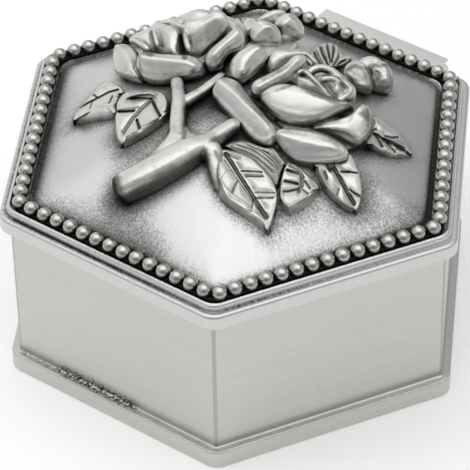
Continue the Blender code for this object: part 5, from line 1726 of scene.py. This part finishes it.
# painted shade, with some patina, along strokes over the photograph's frame, and painted highlights where the
# value is below zero
paintedLightStrokes = {
    # painted shade on the stem's lower side and a painted shadow below its cut end; painted highlights along
    # its top
    "roseStem": [
        ([(124, 201), (145, 192), (165, 182), (185, 171), (203, 162)], 5.5, 0.72),
        ([(138, 190), (150, 184), (165, 175), (180, 166), (200, 154)], 6.0, 0.34),
        ([(112, 180), (114, 192), (121, 204)], 6.0, 1.30),
        ([(128, 183), (137, 177), (148, 169)], 2.8, -0.7),
        ([(164, 149), (182, 143), (202, 140)], 3.6, -0.5),
        ([(185, 108), (184.5, 125), (184, 138)], 2.8, 0.40),
        ([(188, 107), (201, 99), (214, 90)], 2.4, 0.50),
        ([(207, 144), (222, 136), (240, 127)], 3.6, 0.35),
        ([(206, 156), (208, 166), (212, 180), (221, 195)], 4.6, 0.42),
        ([(177, 80), (176, 100), (174, 130)], 3.0, 0.12),
        ([(216, 152), (219, 162), (219, 176)], 2.2, 0.35),
        ([(202, 142), (212, 145)], 3.0, -0.4)],
    # painted highlight along the front petal's crest; painted shade where petals meet
    "roseLeft": [
        ([(146, 62), (165, 64), (185, 66), (196, 68)], 6.0, -0.45),
        ([(142, 79), (160, 85), (180, 82), (198, 77)], 3.0, 0.35),
        ([(181.5, 30), (182.5, 45), (184.5, 58)], 2.6, 0.70),
        ([(133, 44), (140, 50), (150, 54)], 3.5, 0.55),
        ([(151, 33), (152.5, 43), (155, 52)], 2.2, 0.45),
        ([(192, 57), (206, 54), (220, 43), (228, 30)], 3.6, 0.30),
        ([(139, 54), (140, 66), (140, 78)], 2.2, 0.35)],
    # painted shade where petals meet; a painted highlight along one petal's ridge
    "roseMiddle": [
        ([(207, 68), (216, 70), (224, 61), (234, 53)], 3.0, 0.40),
        ([(231, 64), (229, 74), (233, 81)], 3.0, 0.35),
        ([(244, 60), (238, 68), (238, 76)], 4.5, -0.5),
        ([(253, 42), (262, 47), (276, 45)], 3.0, 0.30),
        ([(283, 42), (296, 40)], 3.0, 0.35)],
    # painted highlights over the broad middle petal and along ridges; painted shade under petal edges
    "roseRight": [
        ([(216, 100), (230, 120), (250, 141), (268, 148)], 3.6, 0.40),
        ([(238, 86), (250, 101), (268, 123)], 2.6, 0.25),
        ([(262, 105), (272, 118), (288, 127), (308, 129)], 3.4, 0.60),
        ([(310, 128), (332, 122), (352, 112)], 2.2, 0.25),
        ([(268, 96), (286, 97), (304, 100), (322, 105)], 7.0, -0.40),
        ([(282, 148), (292, 161), (312, 167), (336, 165)], 2.6, 0.30),
        ([(298, 156), (318, 159), (336, 157)], 4.5, -0.35),
        ([(282, 138), (300, 144), (330, 149)], 3.5, -0.35),
        ([(314, 131), (332, 137), (346, 143), (360, 146)], 3.2, 0.45),
        ([(366, 112), (369, 122), (366, 136)], 3.4, 0.35),
        ([(330, 128), (344, 129), (354, 134)], 4.5, -0.35),
        ([(254, 97), (270, 93), (290, 86), (303, 71)], 2.4, 0.45),
        ([(289, 66), (276, 72), (262, 80)], 3.0, 0.20),
        ([(304, 88), (316, 95), (330, 101)], 3.6, 0.45),
        ([(300, 78), (308, 82)], 4.0, -0.30),
        ([(316, 80), (325, 87), (332, 95), (335, 99)], 1.6, 0.22),
        ([(318, 78), (324, 75), (332, 75), (340, 79), (344, 86), (343, 93)], 1.6, 0.20),
        ([(323, 81.5), (329, 80.5), (334, 82.5), (335, 86)], 1.2, 0.35),
        ([(312, 73), (320, 70), (330, 72)], 3.0, 0.20),
        ([(336, 101), (346, 104), (356, 105)], 3.0, 0.35),
        ([(361, 107), (366, 117)], 5.0, 0.20),
        ([(316, 90), (326, 96), (334, 100)], 4.0, 0.35),
        ([(341, 79), (349, 88), (350, 98)], 5.0, 0.34)],
    # painted shade across the bud and between its petals
    "roseBud": [
        ([(371, 71), (372, 80), (372, 90)], 1.8, 0.60),
        ([(366, 72), (368, 80), (368, 88)], 3.2, 0.28),
        ([(350, 82), (358, 89), (370, 91)], 3.0, 0.45),
        ([(376, 90), (388, 88), (392, 80)], 2.6, 0.30),
        ([(346, 70), (354, 66), (366, 68), (376, 66), (386, 65)], 2.0, 0.35),
        ([(352, 78), (366, 78), (386, 78)], 12.0, 0.20)]}


def paintPiece(piece, strokes, name="patinaAndPaintedLight"):
    spots, normals = meshPoints(piece.data), meshPoints(piece.data, "normal")
    reach = spots - np.array(eye)
    depth = -reach @ np.array(back)
    shift = np.stack([reach @ np.array(across), -reach @ np.array(upward)], axis=1)
    frameSpots = halfFrame + cameraValues["focal"] * shift / depth[:, None]
    toward = np.clip(normals @ np.array(back) * 4, 0, 1)
    patinaAndPaintedLight = np.zeros(len(spots))
    for path, breadth, black in strokes:
        patinaAndPaintedLight += black * np.exp(-(pathGap(frameSpots, np.array(path, dtype=float)) / breadth) ** 2)
    setAttribute(piece, name, patinaAndPaintedLight * toward)


solderStrokes = [
    ([(22, 352), (40, 361), (60, 371)], 2.4, 0.55),
    ([(62, 371), (80, 379), (97, 388)], 4.2, 1.5),
    ([(103, 391), (118, 399), (132, 406)], 4.4, 1.5),
    ([(136, 410), (160, 422), (205, 446)], 2.0, 0.40),
    ([(236, 444), (330, 414), (440, 382)], 1.6, 0.30)]


spray = roses + leaves + [stem]
for piece in spray:
    if piece.name in paintedLightStrokes:
        paintPiece(piece, paintedLightStrokes[piece.name])
lidTree = gatherTree(spray + [lid, beads])
for piece in spray + [beads]:
    markGrime(piece, lidTree)
    markWear(piece)
print("Spray shaded")

sprayPoints = np.concatenate([meshPoints(piece.data)[::7] for piece in spray])
sprayTree = KDTree(len(sprayPoints))
for index, spot in enumerate(sprayPoints):
    sprayTree.insert(spot, index)
sprayTree.balance()


def lidGrime(spots):
    # black in the bead channel and the step, and a dull film in patches, partly patina and partly painted
    # shade: a painted shadow below the stem's end and darker painted reflections
    edge = hexGauge(spots[:, 0], spots[:, 1])
    top = spots[:, 2] > shell["plateTop"] - 0.35 * mm
    near = np.array([sprayTree.find(spot)[2] for spot in spots])
    dullFilmAndShade = shadeValues["sprayFilm"] * np.exp(-(near / shadeValues["sprayReach"]) ** 2)
    for x, y, radius, strength in domePatinaAndShadePatches:
        gap = np.linalg.norm(spots - np.array(onDome((x, y))), axis=1)
        dullFilmAndShade += shadeValues["patches"] * strength * np.exp(-(gap / (radius * mm)) ** 2) * top
    # along the foot of the dome, more at the front left and the right
    inward = (shell["domeFlat"] - edge) / mm
    away = spots / np.maximum(edge, mm)[:, None]
    front = np.clip(0.5 - 0.5 * (0.75 * away[:, 0] + 0.66 * away[:, 1]), 0, 1)
    right = np.clip((away[:, 0] - 0.55) / 0.4, 0, 1)
    close = np.exp(-np.maximum(inward, 0) / (0.7 + front)) * top * (inward > -2.6)
    dullFilmAndShade += (0.08 + 0.72 * front ** 1.5 + 0.42 * right) * close
    strip = smoothStep(-0.75, -0.6, inward) * (1 - smoothStep(-0.1, 0.5, inward)) * top
    dullFilmAndShade += (0.32 + 0.6 * np.clip(1.4 - 2.2 * front, 0, 1)) * strip
    # in the step round the plate
    step = np.hypot(edge - shell["plateFlat"], spots[:, 2] - shell["ledgeTop"]) / mm
    more = (0.5 + 0.5 * front) * np.exp(-(step / 0.26) ** 2)
    dullFilmAndShade += 0.60 * front * np.exp(-(step / 0.7) ** 2)
    # and under the beads
    outward = (edge - shell["beadFlat"]) / mm
    inner, outer = 0.55 * smoothStep(-1.15, -0.85, outward), 1 - smoothStep(0.1, 1.15, outward)
    more += np.where(outward < 0, inner, (0.30 + 0.25 * front) * outer) * top
    return more, dullFilmAndShade


markGrime(lid, lidTree, lidGrime)
bodyTree = gatherTree([wall, base, lid])
markGrime(wall, bodyTree, near=shadeValues["bodyNear"])
markGrime(base, bodyTree, near=shadeValues["bodyNear"])
for piece in (wall, base):
    paintPiece(piece, solderStrokes, "solder")
hingeTree = gatherTree(hingeParts + [wall, lid])
for piece in hingeParts:
    markGrime(piece, hingeTree)
    markWear(piece)
print("Shading done")


# Floor, light and camera

stageValues = {
    "floor": (0.80, 0.80, 0.79),
    "floorGlow": 0.30,           # only for what looks at the floor
    "skyLight": 0.50,
    "room": 0.42,                # how bright the room is in the metal, away from these glows:
    "glows": [                   # direction, outer and inner angle of the cone, and how much brighter
        ((0.00, 0.04, 1.0), 46, 17, 1.15),
        ((-0.95, 0.30, 0.42), 48, 12, 0.50),
        ((0.80, 0.30, 0.85), 40, 10, 0.22),
        ((0.45, -0.75, 0.35), 50, 15, -0.14),
        ((-0.45, -0.61, 0.65), 34, 8, 0.34),
        ((0.0, 0.0, -1.0), 98, 80, 0.45)],
    "lampGlow": 1.6,
    "lampAim": (0, 0, 0.03),
    "lamps": [                   # name, place and size
        ("topLight", (-0.03, -0.05, 0.60), (0.6, 0.5)),
        ("sideLight", (-0.50, -0.25, 0.45), (0.4, 0.3))]}


def makeFloor():
    bm = bmesh.new()
    bmesh.ops.create_grid(bm, x_segments=2, y_segments=2, size=1.5)
    floor = linkMesh("floor", bm)
    material, tree, shader = newMaterial("paleFloor", Roughness=0.9)
    shader.inputs["Base Color"].default_value = (*stageValues["floor"], 1.0)
    path = addNode(tree, "ShaderNodeLightPath")
    seen = mathNode(tree, "MAXIMUM", path.outputs["Is Camera Ray"], path.outputs["Is Glossy Ray"])
    glow = addNode(tree, "ShaderNodeEmission", {"Color": (1, 1, 1, 1)})
    tree.links.new(mathNode(tree, "MULTIPLY", seen, stageValues["floorGlow"]), glow.inputs["Strength"])
    both = addNode(tree, "ShaderNodeAddShader", {0: shader.outputs[0], 1: glow.outputs[0]})
    tree.links.new(both.outputs[0], tree.nodes["Material Output"].inputs["Surface"])
    floor.data.materials.append(material)


def lobe(tree, heading, towards, wide, narrow):
    # one inside a cone round a direction, fading out to a wider cone
    made = vectorNode(tree, "DOT_PRODUCT", heading, tuple(Vector(towards).normalized()))
    return ramp(tree, made, math.cos(math.radians(wide)), math.cos(math.radians(narrow)))


def makeWorld():
    world = bpy.data.worlds.new("studio")
    bpy.context.scene.world = world
    world.use_nodes = True
    world.cycles.sampling_method = "NONE"
    tree = world.node_tree
    path = addNode(tree, "ShaderNodeLightPath")
    plain = tree.nodes["Background"]
    plain.inputs["Color"].default_value = (1, 1, 1, 1)
    plain.inputs["Strength"].default_value = stageValues["skyLight"]
    heading = addNode(tree, "ShaderNodeTexCoord").outputs["Generated"]
    room = stageValues["room"]
    for towards, wide, narrow, glow in stageValues["glows"]:
        room = mathNode(tree, "MULTIPLY_ADD", lobe(tree, heading, towards, wide, narrow), glow, room)
    glossy = addNode(tree, "ShaderNodeBackground", {"Color": (1, 1, 1, 1), "Strength": room})
    white = addNode(tree, "ShaderNodeBackground", {"Color": (1, 1, 1, 1), "Strength": 1.0})
    first = addNode(tree, "ShaderNodeMixShader", {0: path.outputs["Is Glossy Ray"], 1: plain.outputs[0],
                                                  2: glossy.outputs[0]})
    seen = mathNode(tree, "MAXIMUM", path.outputs["Is Camera Ray"], path.outputs["Is Transmission Ray"])
    last = addNode(tree, "ShaderNodeMixShader", {0: seen, 1: first.outputs[0], 2: white.outputs[0]})
    tree.links.new(last.outputs[0], tree.nodes["World Output"].inputs["Surface"])


def makeLamp(name, place, size):
    # a softbox whose face is the glow times white; the metal sees the world's softer glows instead
    data = bpy.data.lights.new(name, "AREA")
    data.shape = "RECTANGLE"
    data.size, data.size_y = size
    data.energy = stageValues["lampGlow"] * math.pi * size[0] * size[1]
    lamp = bpy.data.objects.new(name, data)
    collection.objects.link(lamp)
    lamp.location = place
    lamp.rotation_euler = (Vector(place) - Vector(stageValues["lampAim"])).to_track_quat("Z", "Y").to_euler()
    lamp.visible_glossy = False


makeFloor()
makeWorld()
for row in stageValues["lamps"]:
    makeLamp(*row)
makeCamera()
bpy.context.scene.view_settings.view_transform = "Standard"
print("Stage set")
